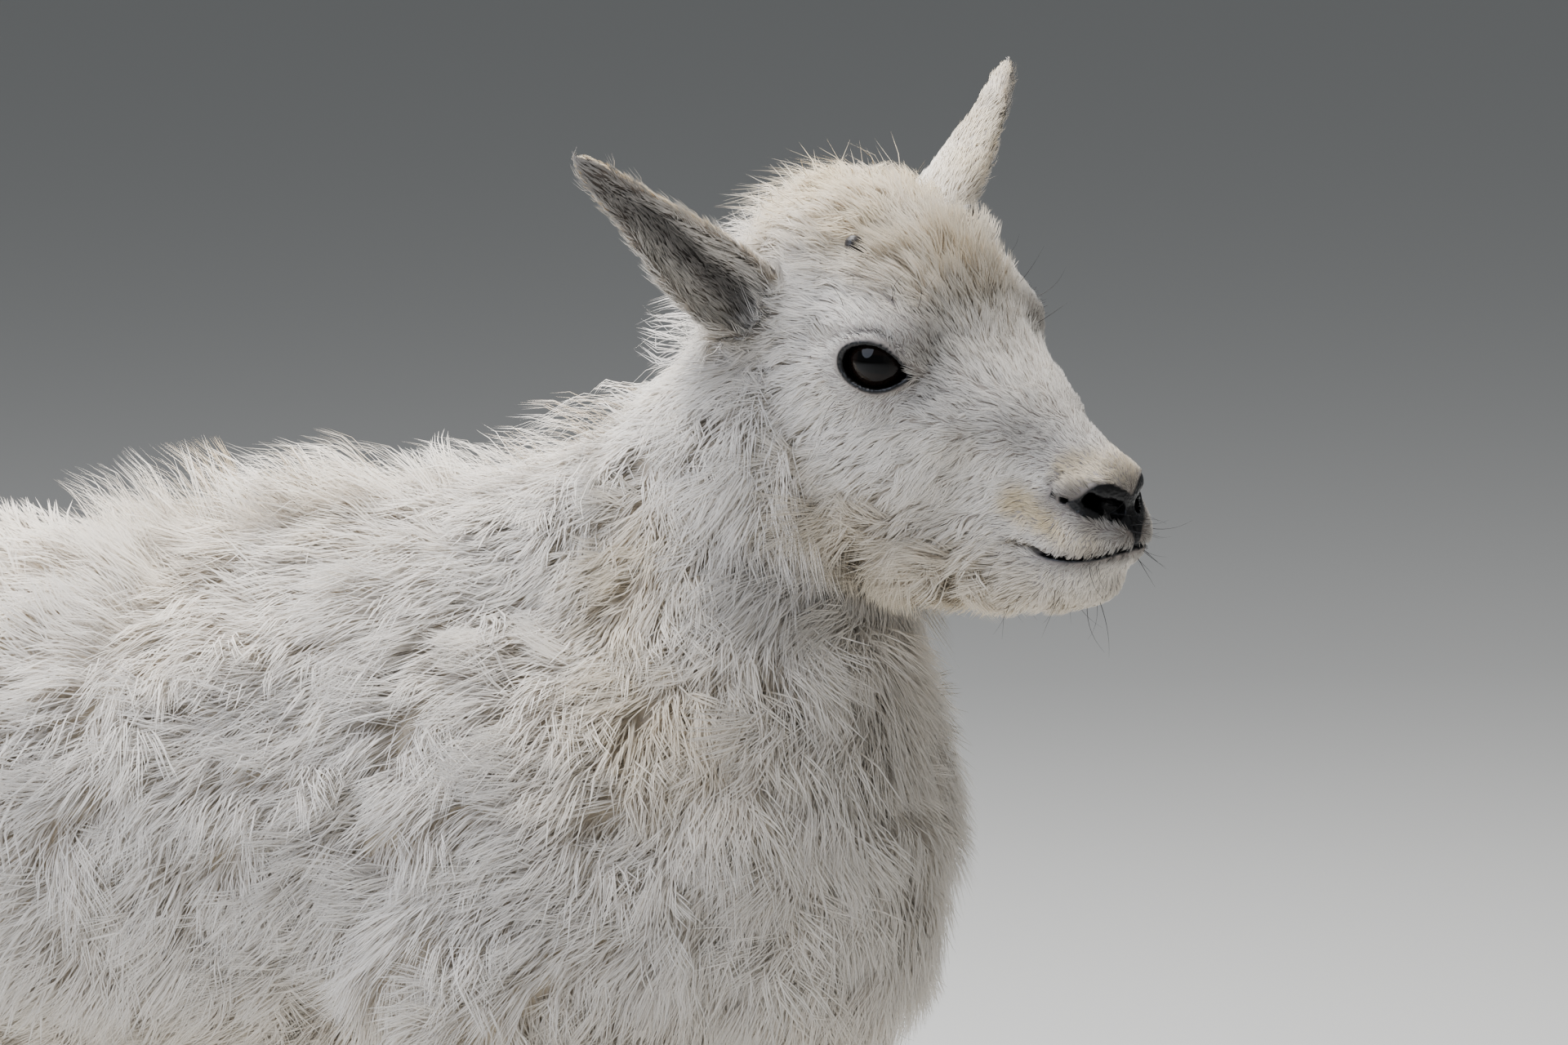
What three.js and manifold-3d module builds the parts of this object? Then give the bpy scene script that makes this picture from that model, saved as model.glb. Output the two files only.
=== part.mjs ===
// A mountain goat kid of about two months, standing with its head turned to its right, life size.
// Millimetres. +X points from the rump to the chest, +Y to the kid's left and +Z up; the floor is at Z = 0.
// The body is described as soft masses that run into one another. Each node is wrapped round the masses it
// covers, ring by ring, and the coat's locks are then set on it along the lie of the hair.

import * as THREE from "three";
import { mergeVertices } from "three/addons/utils/BufferGeometryUtils.js";
import Module from "manifold-3d";

const wasm = await Module();
wasm.setup();

// Driving sizes of the body. The undercoat is the surface that the locks grow from.
const WITHERS = 454; // height of the undercoat over the shoulders
const BELLY = 256; // height of the belly
const CHEST_X = 241; // how far forward the chest reaches
const RUMP_X = -268; // how far back the rump reaches
const HALF_WIDTH = 86; // half the barrel's width
const ELBOW = 229; // height where a foreleg leaves the trunk
const STIFLE = 228; // height where a hind leg leaves the trunk
const KNEE = 141;
const HOCK = 160;
const FETLOCK = 46;
const CORONET = 23; // height of the top of the hooves
const FORE_X = 104; // the forelegs' place along the body
const HIND_X = -205; // the hind legs' place along the body
const LEG_Y = 48; // half the distance between the left and right legs
const MIDDLE = { x: 16.4, y: 4.8 }; // centre of the whole outline, which becomes the origin

// Driving sizes of the head, which has its own frame: x along the muzzle, y to its left, z to its crown.
const EYE_MIDDLE = [263, -20, 534]; // the point between the eyes
const NOSE_DOWN = 20; // degrees
const TURNED = 19; // degrees to its right
const LEANED = 6; // degrees, left side up
const EYE_RADIUS = 13.2;
const EYE_AT = [-6, 31.5, -2.5];
const EYE_FACES = [0.34, 0.92, 0.17];
const NOSE_X = 97; // how far the muzzle reaches past the eyes
const NAPE_X = -85; // how far the skull reaches behind them
const MOUTH = { height: -35, drop: 14, length: 39.5 };
const EAR_LENGTH = 108;
const EAR_HALF_WIDTH = 18;
// The ears turn each its own way: the left one down and forward, the right one up and out.
const EARS = {
  left: { root: [-56, 36, 2], along: [-36, 82, 38], opens: [0.45, 0.53, -0.7] },
  right: { root: [-56, 36, -11], along: [-40, 82, 66], opens: [0.85, 0.42, 0] },
};

const GAP = 0.3; // between nodes that touch
const HALF_GAP = GAP / 2;
const UP = [0, 0, 1];
const ACROSS = [0, 1, 0];

// Vectors
const add = (a, b, t = 1) => [a[0] + t * b[0], a[1] + t * b[1], a[2] + t * b[2]];
const sub = (a, b) => [a[0] - b[0], a[1] - b[1], a[2] - b[2]];
const scale = (a, t) => [a[0] * t, a[1] * t, a[2] * t];
const dot = (a, b) => a[0] * b[0] + a[1] * b[1] + a[2] * b[2];
const cross = (a, b) => [a[1] * b[2] - a[2] * b[1], a[2] * b[0] - a[0] * b[2], a[0] * b[1] - a[1] * b[0]];
const size = (a) => Math.hypot(a[0], a[1], a[2]);
const unit = (a) => scale(a, 1 / (size(a) || 1));
const mix = (a, b, t) => a + (b - a) * t;
const mixed = (a, b, t) => [mix(a[0], b[0], t), mix(a[1], b[1], t), mix(a[2], b[2], t)];
const clamp = (v, low, high) => Math.min(high, Math.max(low, v));
const ramp = (v, low, high) => {
  const t = clamp((v - low) / (high - low), 0, 1);
  return t * t * (3 - 2 * t);
};
const radians = (degrees) => (degrees * Math.PI) / 180;
const across = (a, normal) => unit(add(a, normal, -dot(a, normal)));

// Masses. Each is a function of a point: negative inside, positive outside, about its distance in between.
function ball(at, radii, tilt = 0) {
  const c = Math.cos(radians(tilt)),
    s = Math.sin(radians(tilt));
  return (p) => {
    const x = p[0] - at[0],
      y = p[1] - at[1],
      z = p[2] - at[2];
    const a = (c * x - s * z) / radii[0],
      b = y / radii[1],
      d = (s * x + c * z) / radii[2];
    const k = Math.hypot(a, b, d),
      slope = Math.hypot(a / radii[0], b / radii[1], d / radii[2]);
    return (k * (k - 1)) / (slope || 1);
  };
}
function limb(from, to, fromRadius, toRadius, flat = 1) {
  const way = sub(to, from),
    long = dot(way, way);
  return (p) => {
    const q = sub(p, from),
      t = clamp(dot(q, way) / long, 0, 1);
    const d = add(q, way, -t);
    return Math.hypot(d[0], d[1] / flat, d[2]) - mix(fromRadius, toRadius, t);
  };
}
function soften(a, b, blend) {
  const h = Math.max(blend - Math.abs(a - b), 0) / blend;
  return Math.min(a, b) - (h * h * blend) / 4;
}
const joined = (masses) => (p) =>
  masses.reduce((d, [mass, blend]) => (d === null ? mass(p) : soften(d, mass(p), blend)), null);
const bothSides = (mass) => (p) => mass([p[0], Math.abs(p[1]), p[2]]);
function slope(mass, p, step = 1.5) {
  const along = (axis) => {
    const a = [...p],
      b = [...p];
    a[axis] += step;
    b[axis] -= step;
    return mass(a) - mass(b);
  };
  return unit([along(0), along(1), along(2)]);
}

// The trunk, with the shoulders and haunches, and the neck that rises from it.
const trunk = bothSides(
  joined([
    [ball([40, 0, WITHERS - 100], [125, 78, 98]), 0],
    [ball([-75, 0, BELLY + 94], [150, HALF_WIDTH, 94]), 30],
    [ball([-185, 0, WITHERS - 86], [RUMP_X / -3 - 5, 68, 68]), 30],
    [ball([50, 0, WITHERS - 34], [70, 34, 36]), 30],
    [ball([CHEST_X - 78, 0, WITHERS - 109], [78, 64, 92]), 30],
    [ball([FORE_X + 8, 50, WITHERS - 129], [50, 32, 82], -12), 30],
    [ball([HIND_X, 42, WITHERS - 136], [62, 36, 80], -14), 30],
  ]),
);
const NECK_ROOT = [150, 0, 350];
const NECK_TOP = [198, 0, 508];
const neckColumn = joined([
  [limb(NECK_ROOT, NECK_TOP, 70, 39, 0.95), 0],
  [limb([60, 0, WITHERS - 34], [172, 0, 478], 34, 36), 30],
]);

// The head's own frame in the body's.
const [nod, turn, lean] = [NOSE_DOWN, TURNED, LEANED].map(radians);
const FORWARD = [Math.cos(nod) * Math.cos(turn), -Math.cos(nod) * Math.sin(turn), -Math.sin(nod)];
const levelLeft = [Math.sin(turn), Math.cos(turn), 0];
const levelUp = [Math.sin(nod) * Math.cos(turn), -Math.sin(nod) * Math.sin(turn), Math.cos(nod)];
const LEFT = add(scale(levelLeft, Math.cos(lean)), levelUp, Math.sin(lean));
const CROWN = add(scale(levelUp, Math.cos(lean)), levelLeft, -Math.sin(lean));
const fromHead = (h) => add(add(add(EYE_MIDDLE, FORWARD, h[0]), LEFT, h[1]), CROWN, h[2]);
const aimed = (h) => add(add(scale(FORWARD, h[0]), LEFT, h[1]), CROWN, h[2]);
function inHead(p) {
  const q = sub(p, EYE_MIDDLE);
  return [dot(q, FORWARD), dot(q, LEFT), dot(q, CROWN)];
}

const headMass = bothSides(
  joined([
    [ball([NAPE_X + 45, 0, -4], [45, 42, 44]), 0], // brain case
    [ball([-14, 0, 4], [30, 33, 24]), 16], // forehead
    [limb([-20, 0, -26], [NOSE_X - 22, 0, -31], 40, 18.5, 0.8), 18], // wedge of the muzzle
    [limb([12, 0, -8], [NOSE_X - 21, 0, -19.5], 17, 8.5), 12], // bridge of the nose
    [ball([-12, 23, -38], [40, 18, 38]), 16], // cheek
    [limb([6, 15, -64], [66, 7, -60], 13, 10), 16], // jaw bone
    [ball([30, 0, -56], [42, 20, 22]), 16], // floor of the jaw
    [ball([NOSE_X - 21, 0, -36], [19.5, 17.5, 19]), 10], // end of the muzzle
    [limb([NOSE_X - 8.5, 5, -36], [NOSE_X - 13, 12.5, -36.5], 8, 6.5), 6], // upper lip
    [ball([NOSE_X - 21, 0, -57], [17, 13, 13]), 8], // chin
    [ball([-9, 30, 3], [19, 12, 12]), 16], // brow over the eye
    [limb([2, 22, -2], [38, 12, -15], 13, 10), 16], // from the brow to the bridge
  ]),
);

const body = joined([
  [trunk, 0],
  [neckColumn, 40],
  [(p) => headMass(inHead(p)), 26],
]);

// The head parts from the neck on a slanting plane behind the skull and the jaw.
const HEAD_CUT = { hub: [14, 0, -116], turn: radians(35), reach: 107, notch: 12 };
HEAD_CUT.normal = [Math.cos(HEAD_CUT.turn), 0, Math.sin(HEAD_CUT.turn)];

// The legs, from inside the trunk down to the hooves. Each list runs from the top, for the left side.
const foreleg = joined([
  [limb([FORE_X, LEG_Y + 2, 300], [FORE_X + 2, LEG_Y + 2, ELBOW + 2], 40, 27), 0],
  [limb([FORE_X + 2, LEG_Y + 2, ELBOW + 2], [FORE_X + 10, LEG_Y, KNEE + 4], 26, 18), 14],
  [ball([FORE_X + 11, LEG_Y, KNEE - 1], [18, 17, 21]), 8],
  [limb([FORE_X + 9, LEG_Y, KNEE - 6], [FORE_X + 9, LEG_Y, FETLOCK + 9], 14.5, 13.5), 8],
  [ball([FORE_X + 10, LEG_Y, FETLOCK], [16, 16, 15]), 8],
  [limb([FORE_X + 11, LEG_Y, FETLOCK - 2], [FORE_X + 19, LEG_Y, CORONET - 4], 13, 14), 8],
]);
const hindleg = joined([
  [limb([HIND_X - 7, LEG_Y - 2, 310], [HIND_X + 17, LEG_Y, STIFLE + 2], 54, 30), 0],
  [limb([HIND_X + 17, LEG_Y, STIFLE + 2], [HIND_X - 28, LEG_Y - 2, HOCK + 5], 28, 18), 14],
  [ball([HIND_X - 31, LEG_Y - 2, HOCK + 2], [18, 15, 22]), 8],
  [limb([HIND_X - 29, LEG_Y - 2, HOCK - 5], [HIND_X - 18, LEG_Y - 2, FETLOCK + 9], 15.5, 13.5), 8],
  [ball([HIND_X - 16, LEG_Y - 2, FETLOCK], [16, 16, 15]), 8],
  [limb([HIND_X - 15, LEG_Y - 2, FETLOCK - 2], [HIND_X - 6, LEG_Y - 2, CORONET - 4], 13, 14), 8],
]);
const TAIL_ROOT = [-240, 0, 405];
const TAIL_TIP = [-293, 0, 352];
const tailMass = limb(TAIL_ROOT, TAIL_TIP, 19, 11, 1.25);

// Solids
function solid(points, triangles) {
  const make = (faces) =>
    new wasm.Manifold(
      new wasm.Mesh({
        numProp: 3,
        vertProperties: new Float32Array(points.flat()),
        triVerts: new Uint32Array(faces.flat()),
      }),
    );
  const made = make(triangles);
  if (made.volume() > 0) return made;
  return make(triangles.map(([a, b, c]) => [a, c, b]));
}
const solidOf = (geometry) => {
  const bare = new THREE.BufferGeometry();
  bare.setAttribute("position", geometry.getAttribute("position").clone());
  if (geometry.index) bare.setIndex(geometry.index);
  const merged = mergeVertices(bare, 1e-3);
  const place = merged.getAttribute("position");
  const pointAt = (_, i) => [place.getX(i), place.getY(i), place.getZ(i)];
  const points = Array.from({ length: place.count }, pointAt);
  const triangles = [];
  for (let i = 0; i < merged.index.count; i += 3) {
    const face = [0, 1, 2].map((k) => merged.index.getX(i + k));
    if (new Set(face).size === 3) triangles.push(face);
  }
  return solid(points, triangles);
};
// A closed skin over rings of equally many points, closed at each end on a point of its own.
function loft(rings, startPoint, endPoint) {
  const sides = rings[0].length;
  const points = [...rings.flat(), startPoint, endPoint];
  const [start, end] = [points.length - 2, points.length - 1];
  const triangles = [];
  for (let i = 0; i < sides; i++) {
    const j = (i + 1) % sides;
    for (let r = 0; r + 1 < rings.length; r++) {
      const [a, b, c, d] = [r * sides + i, r * sides + j, (r + 1) * sides + j, (r + 1) * sides + i];
      if ((r + i) % 2) triangles.push([a, b, c], [a, c, d]);
      else triangles.push([a, b, d], [b, c, d]);
    }
    const last = (rings.length - 1) * sides;
    triangles.push([start, j, i], [end, last + i, last + j]);
  }
  return solid(points, triangles);
}
const middleOf = (ring) => scale(ring.reduce((sum, p) => add(sum, p), [0, 0, 0]), 1 / ring.length);

// A point on a mass's surface, found from inside it along a way.
const STRIDE = 4;
function reached(mass, from, way) {
  let near = 0,
    far = STRIDE;
  while (mass(add(from, way, far)) < 0 && far < 400) {
    near = far;
    far += STRIDE;
  }
  for (let n = 0; n < 12; n++) {
    const half = (near + far) / 2;
    if (mass(add(from, way, half)) < 0) near = half;
    else far = half;
  }
  return add(from, way, near);
}
// The ring where a mass meets the plane through a frame's point, along equal turns.
function ringOn(mass, frame, sides) {
  return Array.from({ length: sides }, (_, i) => {
    const turned = (2 * Math.PI * (i + 0.5)) / sides;
    return reached(mass, frame.at, add(scale(frame.side, Math.cos(turned)), frame.up, Math.sin(turned)));
  });
}
function wrapped(mass, frames, sides, { startPoint, endPoint } = {}) {
  const rings = frames.map((frame) => ringOn(mass, frame, sides));
  return loft(rings, startPoint ?? middleOf(rings[0]), endPoint ?? middleOf(rings.at(-1)));
}
const swollen = (mass, depth, more = 0) => (p) => mass(p) - depth(p) - more;
const steps = (from, to, count) => Array.from({ length: count }, (_, i) => mix(from, to, i / (count - 1)));
const largest = (made) => made.decompose().sort((a, b) => b.volume() - a.volume())[0];

// Where no locks grow, the short hair of the shanks stands this far off the undercoat.
const SHANK_COAT = 2.5;
const coatDepth = (p) => SHANK_COAT * (1 - ramp(p[2], 120, 200));

// Frames down the trunk. They fan round the withers from the neck's root, then stand upright to the rump.
const NECK_CUT = radians(-40);
const FAN_AT = [52, 0, WITHERS + 46];
function fanFrame(turned, back = 0) {
  const down = [Math.cos(turned), 0, Math.sin(turned)];
  const normal = [-Math.sin(turned), 0, Math.cos(turned)];
  return { at: add(add(FAN_AT, down, 138), normal, -back), side: ACROSS, up: scale(down, -1) };
}
const trunkFan = (more) =>
  steps(NECK_CUT, radians(-82), 4).map((turned, i) => fanFrame(turned, i ? 0 : HALF_GAP - more / 2));
const uprightFrames = steps(44, RUMP_X + 16, 9).map((x) => ({
  at: [x, 0, mix(WITHERS - 104, WITHERS - 90, ramp(-x, 80, 240))],
  side: ACROSS,
  up: UP,
}));
const TRUNK_SIDES = 18;

function trunkCore(depth, more = 0) {
  const frames = [...trunkFan(more), ...uprightFrames];
  const mass = swollen(body, depth, more);
  const endPoint = reached(mass, frames.at(-1).at, [-1, 0, 0]);
  const barrel = wrapped(mass, frames, TRUNK_SIDES, { endPoint });
  const roots = [1, -1].flatMap((sign) => [
    legRoot(swollen(foreleg, depth, more), sign, FORE_X + 1, ELBOW - more / 2),
    legRoot(swollen(hindleg, depth, more), sign, HIND_X + 12, STIFLE - more / 2),
  ]);
  return wasm.Manifold.union([barrel, ...roots]);
}

// Legs
const LEG_SIDES = 11;
const onSide = (mass, sign) => (p) => mass([p[0], sign * p[1], p[2]]);
const levelFrame = (x, y, z) => ({ at: [x, y, z], side: [1, 0, 0], up: ACROSS });
function legRoot(leg, sign, x, height) {
  const heights = [height + HALF_GAP, height + 22, height + 48];
  const frames = heights.map((z) => levelFrame(x, sign * (LEG_Y + 1), z));
  return wrapped(onSide(leg, sign), frames, LEG_SIDES);
}
function foreCentre(z) {
  if (z > KNEE) return mix(FORE_X + 11, FORE_X + 1, (z - KNEE) / (ELBOW - KNEE));
  if (z > FETLOCK) return FORE_X + 9;
  return mix(FORE_X + 17, FORE_X + 10, (z - CORONET) / (FETLOCK - CORONET));
}
function hindCentre(z) {
  if (z > HOCK) return mix(HIND_X - 31, HIND_X + 12, (z - HOCK) / (STIFLE - HOCK));
  if (z > FETLOCK) return mix(HIND_X - 17, HIND_X - 30, (z - FETLOCK) / (HOCK - FETLOCK));
  return mix(HIND_X - 9, HIND_X - 16, (z - CORONET) / (FETLOCK - CORONET));
}
function legLength(leg, centre, sign, heights) {
  const apart = (z) => (z > KNEE + 40 ? LEG_Y + 1 : LEG_Y - 1);
  const frames = heights.map((z) => levelFrame(centre(z), sign * apart(z), z));
  return wrapped(onSide(leg, sign), frames, LEG_SIDES);
}

// Hooves. Each foot has two claws on flat soles, set apart, and two small dewclaws behind the fetlock.
const CLAW = { length: 36, width: 14.4, toe: 21, split: 2.2 };
function claw(x, y, sign) {
  const outline = (z, shrink) =>
    Array.from({ length: 12 }, (_, i) => {
      const turned = (2 * Math.PI * i) / 12;
      const forward = Math.cos(turned);
      const pointed = 1 - 0.35 * Math.max(0, forward);
      const long = (CLAW.length / 2) * shrink * forward;
      const wide = (CLAW.width / 2) * Math.sin(turned) * pointed * mix(1, shrink, 0.4);
      const inward = -sign * 1.6 * Math.max(0, forward) ** 2;
      const lean = (CLAW.toe - CLAW.length / 2) * mix(1, 0.1, z / CORONET);
      return [x + lean + long, y + wide + inward, z];
    });
  const rings = [outline(0, 0.94), outline(3, 1), outline(12, 0.9), outline(CORONET - GAP, 0.74)];
  return loft(rings, middleOf(rings[0]), middleOf(rings.at(-1)));
}
function dewclaw(x, y, legSolid) {
  const root = [x + 4, y, FETLOCK - 5],
    tip = [x - 11, y, FETLOCK - 15];
  const horn = limb(root, tip, 5.6, 2.6);
  const along = unit(sub(tip, root));
  const up = across(UP, along);
  const frames = [0, 9, 17].map((d) => ({ at: add(root, along, d), side: ACROSS, up }));
  return largest(wrapped(horn, frames, 7, { endPoint: add(tip, along, 2.6) }).subtract(legSolid));
}

// Frames of the head, in its own axes. They fan round under the jaw from the cut, then stand upright.
function skullFrame(turned, back = 0) {
  const up = [-Math.sin(turned), 0, Math.cos(turned)];
  const at = add(add(HEAD_CUT.hub, up, HEAD_CUT.reach), HEAD_CUT.normal, -back);
  return { at, side: ACROSS, up };
}
const HEAD_SIDES = 22;
function headCore(depth, more = 0) {
  const shift = (i) => (i ? 0 : more / 2 - HALF_GAP);
  const fan = steps(HEAD_CUT.turn, 0, 9).map((turned, i) => skullFrame(turned, shift(i)));
  const places = [...steps(27, NOSE_X - 19, 7), NOSE_X - 12, NOSE_X - 7, NOSE_X - 3];
  const middle = (x) => [x, 0, mix(-22, -38, ramp(x, 20, NOSE_X))];
  const upright = places.map((x) => ({ at: middle(x), side: ACROSS, up: UP }));
  const { hub, notch } = HEAD_CUT;
  const mass = (h) => {
    const p = fromHead(h);
    return Math.max(body(p) - depth(p) - more, notch - Math.hypot(h[0] - hub[0], h[2] - hub[2]));
  };
  const endPoint = reached(mass, upright.at(-1).at, [1, 0, 0]);
  return wrapped(mass, [...fan, ...upright], HEAD_SIDES, { endPoint });
}

// The neck, from the cut at its root to the cut behind the head.
function neckWay(more = 0) {
  const root = fanFrame(NECK_CUT, more / 2 - HALF_GAP);
  const top = skullFrame(HEAD_CUT.turn, HALF_GAP - more / 2);
  const [topAt, topUp] = [fromHead(top.at), aimed(top.up)];
  return steps(0, 1, 6).map((t) => {
    const up = unit(mixed(root.up, topUp, t));
    return { at: mixed(root.at, topAt, t), side: across(mixed(ACROSS, LEFT, t), up), up };
  });
}
const neckCore = (depth, more = 0) => wrapped(swollen(body, depth, more), neckWay(more), TRUNK_SIDES);
const sided = (p, sign) => [p[0], sign * p[1], p[2]];
function eyeFrame(sign) {
  const out = unit(sided(EYE_FACES, sign));
  const along = across([1, 0, -0.12], out);
  const up = unit(cross(along, out));
  return { at: sided(EYE_AT, sign), out, along, up: dot(up, UP) < 0 ? scale(up, -1) : up };
}
const inFrame = (frame, a, b, c) => add(add(add(frame.at, frame.along, a), frame.up, b), frame.out, c);
function eyeball(radius, sign) {
  const made = new THREE.SphereGeometry(radius, 14, 8);
  const frame = eyeFrame(sign);
  made.applyMatrix4(
    new THREE.Matrix4()
      .makeBasis(...[frame.along, frame.out, frame.up].map((v) => new THREE.Vector3(...v)))
      .setPosition(...frame.at),
  );
  return solidOf(made);
}
// The slit between the lids is longer than high and comes to a point at its front corner.
const SLIT = { half: 11.4, rise: 9.4, corner: 2.6 };
function slitPoint(turned, spread = 0) {
  const forward = Math.cos(turned);
  const corner = SLIT.corner * Math.max(0, forward) ** 6;
  return [
    (SLIT.half + spread) * forward + corner,
    (SLIT.rise + spread) * Math.sin(turned) * (1 - 0.12 * Math.max(0, forward)) - corner * 0.8,
  ];
}
function lids(sign) {
  const frame = eyeFrame(sign);
  const sectionAt = (turned) => {
    const edge = Math.min(Math.hypot(...slitPoint(turned)), EYE_RADIUS - 1.2);
    const height = Math.sqrt(EYE_RADIUS ** 2 - edge ** 2);
    return [
      [-1.3, -2.5],
      [-1, 2.3],
      [3.2, 0.9],
      [6.3, -6],
    ].map(([spread, lift]) => inFrame(frame, ...slitPoint(turned, spread), height + lift));
  };
  const count = 18;
  const rings = Array.from({ length: count }, (_, i) => sectionAt((2 * Math.PI * i) / count));
  const points = rings.flat();
  const triangles = [];
  const wide = rings[0].length;
  for (let r = 0; r < count; r++)
    for (let i = 0; i < wide; i++) {
      const [a, b] = [r * wide + i, r * wide + ((i + 1) % wide)];
      const [c, d] = [((r + 1) % count) * wide + ((i + 1) % wide), ((r + 1) % count) * wide + i];
      triangles.push([a, b, c], [a, c, d]);
    }
  return solid(points, triangles);
}
function slitCutter(sign) {
  const frame = eyeFrame(sign);
  const ring = (spread, height) =>
    Array.from({ length: 18 }, (_, i) => {
      const [a, b] = slitPoint((2 * Math.PI * (i + 0.5)) / 18, spread);
      return inFrame(frame, a, b, height);
    });
  const rings = [ring(-3, 3), ring(0, 8.5), ring(3.1, 22)];
  return loft(rings, middleOf(rings[0]), middleOf(rings.at(-1)));
}
// The line of the mouth, a narrow wedge cut along the lips from corner to corner. It drops behind the nose.
const MOUTH_TURN = radians(112);
function mouthCutter() {
  const rings = steps(-1, 1, 13).map((t) => {
    const out = [Math.cos(t * MOUTH_TURN), Math.sin(t * MOUTH_TURN), 0];
    const inside = (z) => [NOSE_X - 34, 0, z];
    const level = reached(headMass, inside(MOUTH.height - MOUTH.drop / 2), out);
    const back = clamp((NOSE_X - level[0]) / MOUTH.length, 0, 1);
    const height = MOUTH.height - MOUTH.drop * (1 - (1 - back) ** 2.6);
    const lip = reached(headMass, inside(height), out);
    const gape = mix(1.8, 0.9, Math.abs(t));
    const outer = add(lip, out, 3);
    return [add(outer, UP, gape), add(lip, out, -4.5), add(outer, UP, -gape)];
  });
  return loft(rings, middleOf(rings[0]), middleOf(rings.at(-1)));
}
// A nostril is a comma: round by the septum, with a tail that runs out and back.
function nostrilCutter(sign) {
  const route = [
    [NOSE_X - 6, 5, -25, 3.4],
    [NOSE_X - 12, 10, -23.4, 3.4],
    [NOSE_X - 18, 14.5, -23.5, 2.3],
    [NOSE_X - 23.5, 16.6, -25, 0.9],
  ];
  const rings = route.map(([x, y, z, radius], i) => {
    const out = unit([1 - i * 0.25, 0.45 + i * 0.2, 0.1]);
    return Array.from({ length: 8 }, (_, k) => {
      const turned = (2 * Math.PI * k) / 8;
      const deep = add([x, y, z], out, Math.cos(turned) * radius * 2);
      return sided(add(deep, UP, Math.sin(turned) * radius), sign);
    });
  });
  return loft(rings, middleOf(rings[0]), middleOf(rings.at(-1)));
}
function philtrumCutter() {
  const rings = [-20, -27, MOUTH.height + 1].map((z) => {
    const front = reached(headMass, [NOSE_X - 30, 0, z], [1, 0, 0]);
    return [
      [front[0] + 4, 1.5, z],
      [front[0] - 1.6, 0, z],
      [front[0] + 4, -1.5, z],
    ];
  });
  return loft(rings, middleOf(rings[0]), middleOf(rings.at(-1)));
}
function headSolid(depth) {
  const features = wasm.Manifold.union([headCore(depth), lids(1), lids(-1)]);
  const cuts = [1, -1].flatMap((sign) => [
    eyeball(EYE_RADIUS + GAP + 0.1, sign),
    slitCutter(sign),
    nostrilCutter(sign),
  ]);
  return features.subtract(wasm.Manifold.union([...cuts, mouthCutter(), philtrumCutter()]));
}

// An ear is a long leaf rolled into a cup: a closed funnel at its root that opens towards its tip.
function ear(sign) {
  const own = sign > 0 ? EARS.left : EARS.right;
  const along = unit(own.along),
    opens = across(own.opens, along),
    wide = cross(along, opens);
  const places = [-0.1, 0.02, 0.12, 0.24, 0.38, 0.54, 0.7, 0.84, 0.94];
  const leaf = (t) => Math.sqrt(Math.max(1 - ((t - 0.26) / 0.77) ** 2, 0.03));
  const half = (t) => EAR_HALF_WIDTH * leaf(t) * (1 - 0.42 * ramp(t, 0.25, 0.9));
  const bow = (t) => 5 * Math.sin(Math.PI * clamp(t, 0, 1)) - 2;
  const rings = places.map((t) => {
    const roll = radians(mix(158, 96, ramp(t, 0, 0.42)));
    const wall = mix(3.2, 2, t);
    const centre = add(add(own.root, along, EAR_LENGTH * t), opens, bow(t));
    const arc = (radius, order) =>
      order.map((k) => {
        const turned = roll * k;
        const behind = scale(opens, -0.66 * radius * Math.cos(turned));
        return sided(add(add(centre, behind), wide, radius * Math.sin(turned)), sign);
      });
    const order = [-1, -0.66, -0.33, 0, 0.33, 0.66, 1];
    return [...arc(half(t), order), ...arc(half(t) - wall, [...order].reverse())];
  });
  return loft(rings, middleOf(rings[0]), sided(add(own.root, along, EAR_LENGTH), sign));
}
const BUD_AT = [-30, 19, 13];
const BUD_LENGTH = 28;
function hornBud(sign) {
  const at = sided(BUD_AT, sign),
    along = unit([0, 0.55 * sign, 0.83]);
  const side = across([1, 0, 0], along),
    up = unit(cross(along, side));
  const horn = limb(at, add(at, along, BUD_LENGTH), 8, 2);
  const frames = [0, 10, BUD_LENGTH - 4].map((d) => ({ at: add(at, along, d), side, up }));
  return wrapped(horn, frames, 8, { endPoint: add(at, along, BUD_LENGTH + 2) });
}
function tail(depth, more = 0) {
  const along = unit(sub(TAIL_TIP, TAIL_ROOT)),
    up = across(UP, along);
  const frames = [0, 26, 52, 74].map((d) => ({ at: add(TAIL_ROOT, along, d), side: ACROSS, up }));
  const mass = swollen(tailMass, depth, more);
  return wrapped(mass, frames, 8, { endPoint: reached(mass, frames.at(-1).at, along) });
}

const toBody = (made) => {
  const frame = [...FORWARD, 0, ...LEFT, 0, ...CROWN, 0, ...EYE_MIDDLE, 1];
  return made.transform(frame);
};

// Locks. Each is a flat blade rooted in the undercoat that follows it along the lie and lifts to a tip.
let drawn = 20240611;
function chance(low = 0, high = 1) {
  drawn = (drawn + 0x6d2b79f5) | 0;
  let t = Math.imul(drawn ^ (drawn >>> 15), 1 | drawn);
  t = (t + Math.imul(t ^ (t >>> 7), 61 | t)) ^ t;
  return mix(low, high, ((t ^ (t >>> 14)) >>> 0) / 4294967296);
}
const SUNK = 6; // how deep a root goes into the undercoat
const LOCK_PLACES = [0, 0.52];
const LOCK_WIDTHS = [0.8, 1];
const LOCK_LIFTS = [0.68, 1.08];
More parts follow.
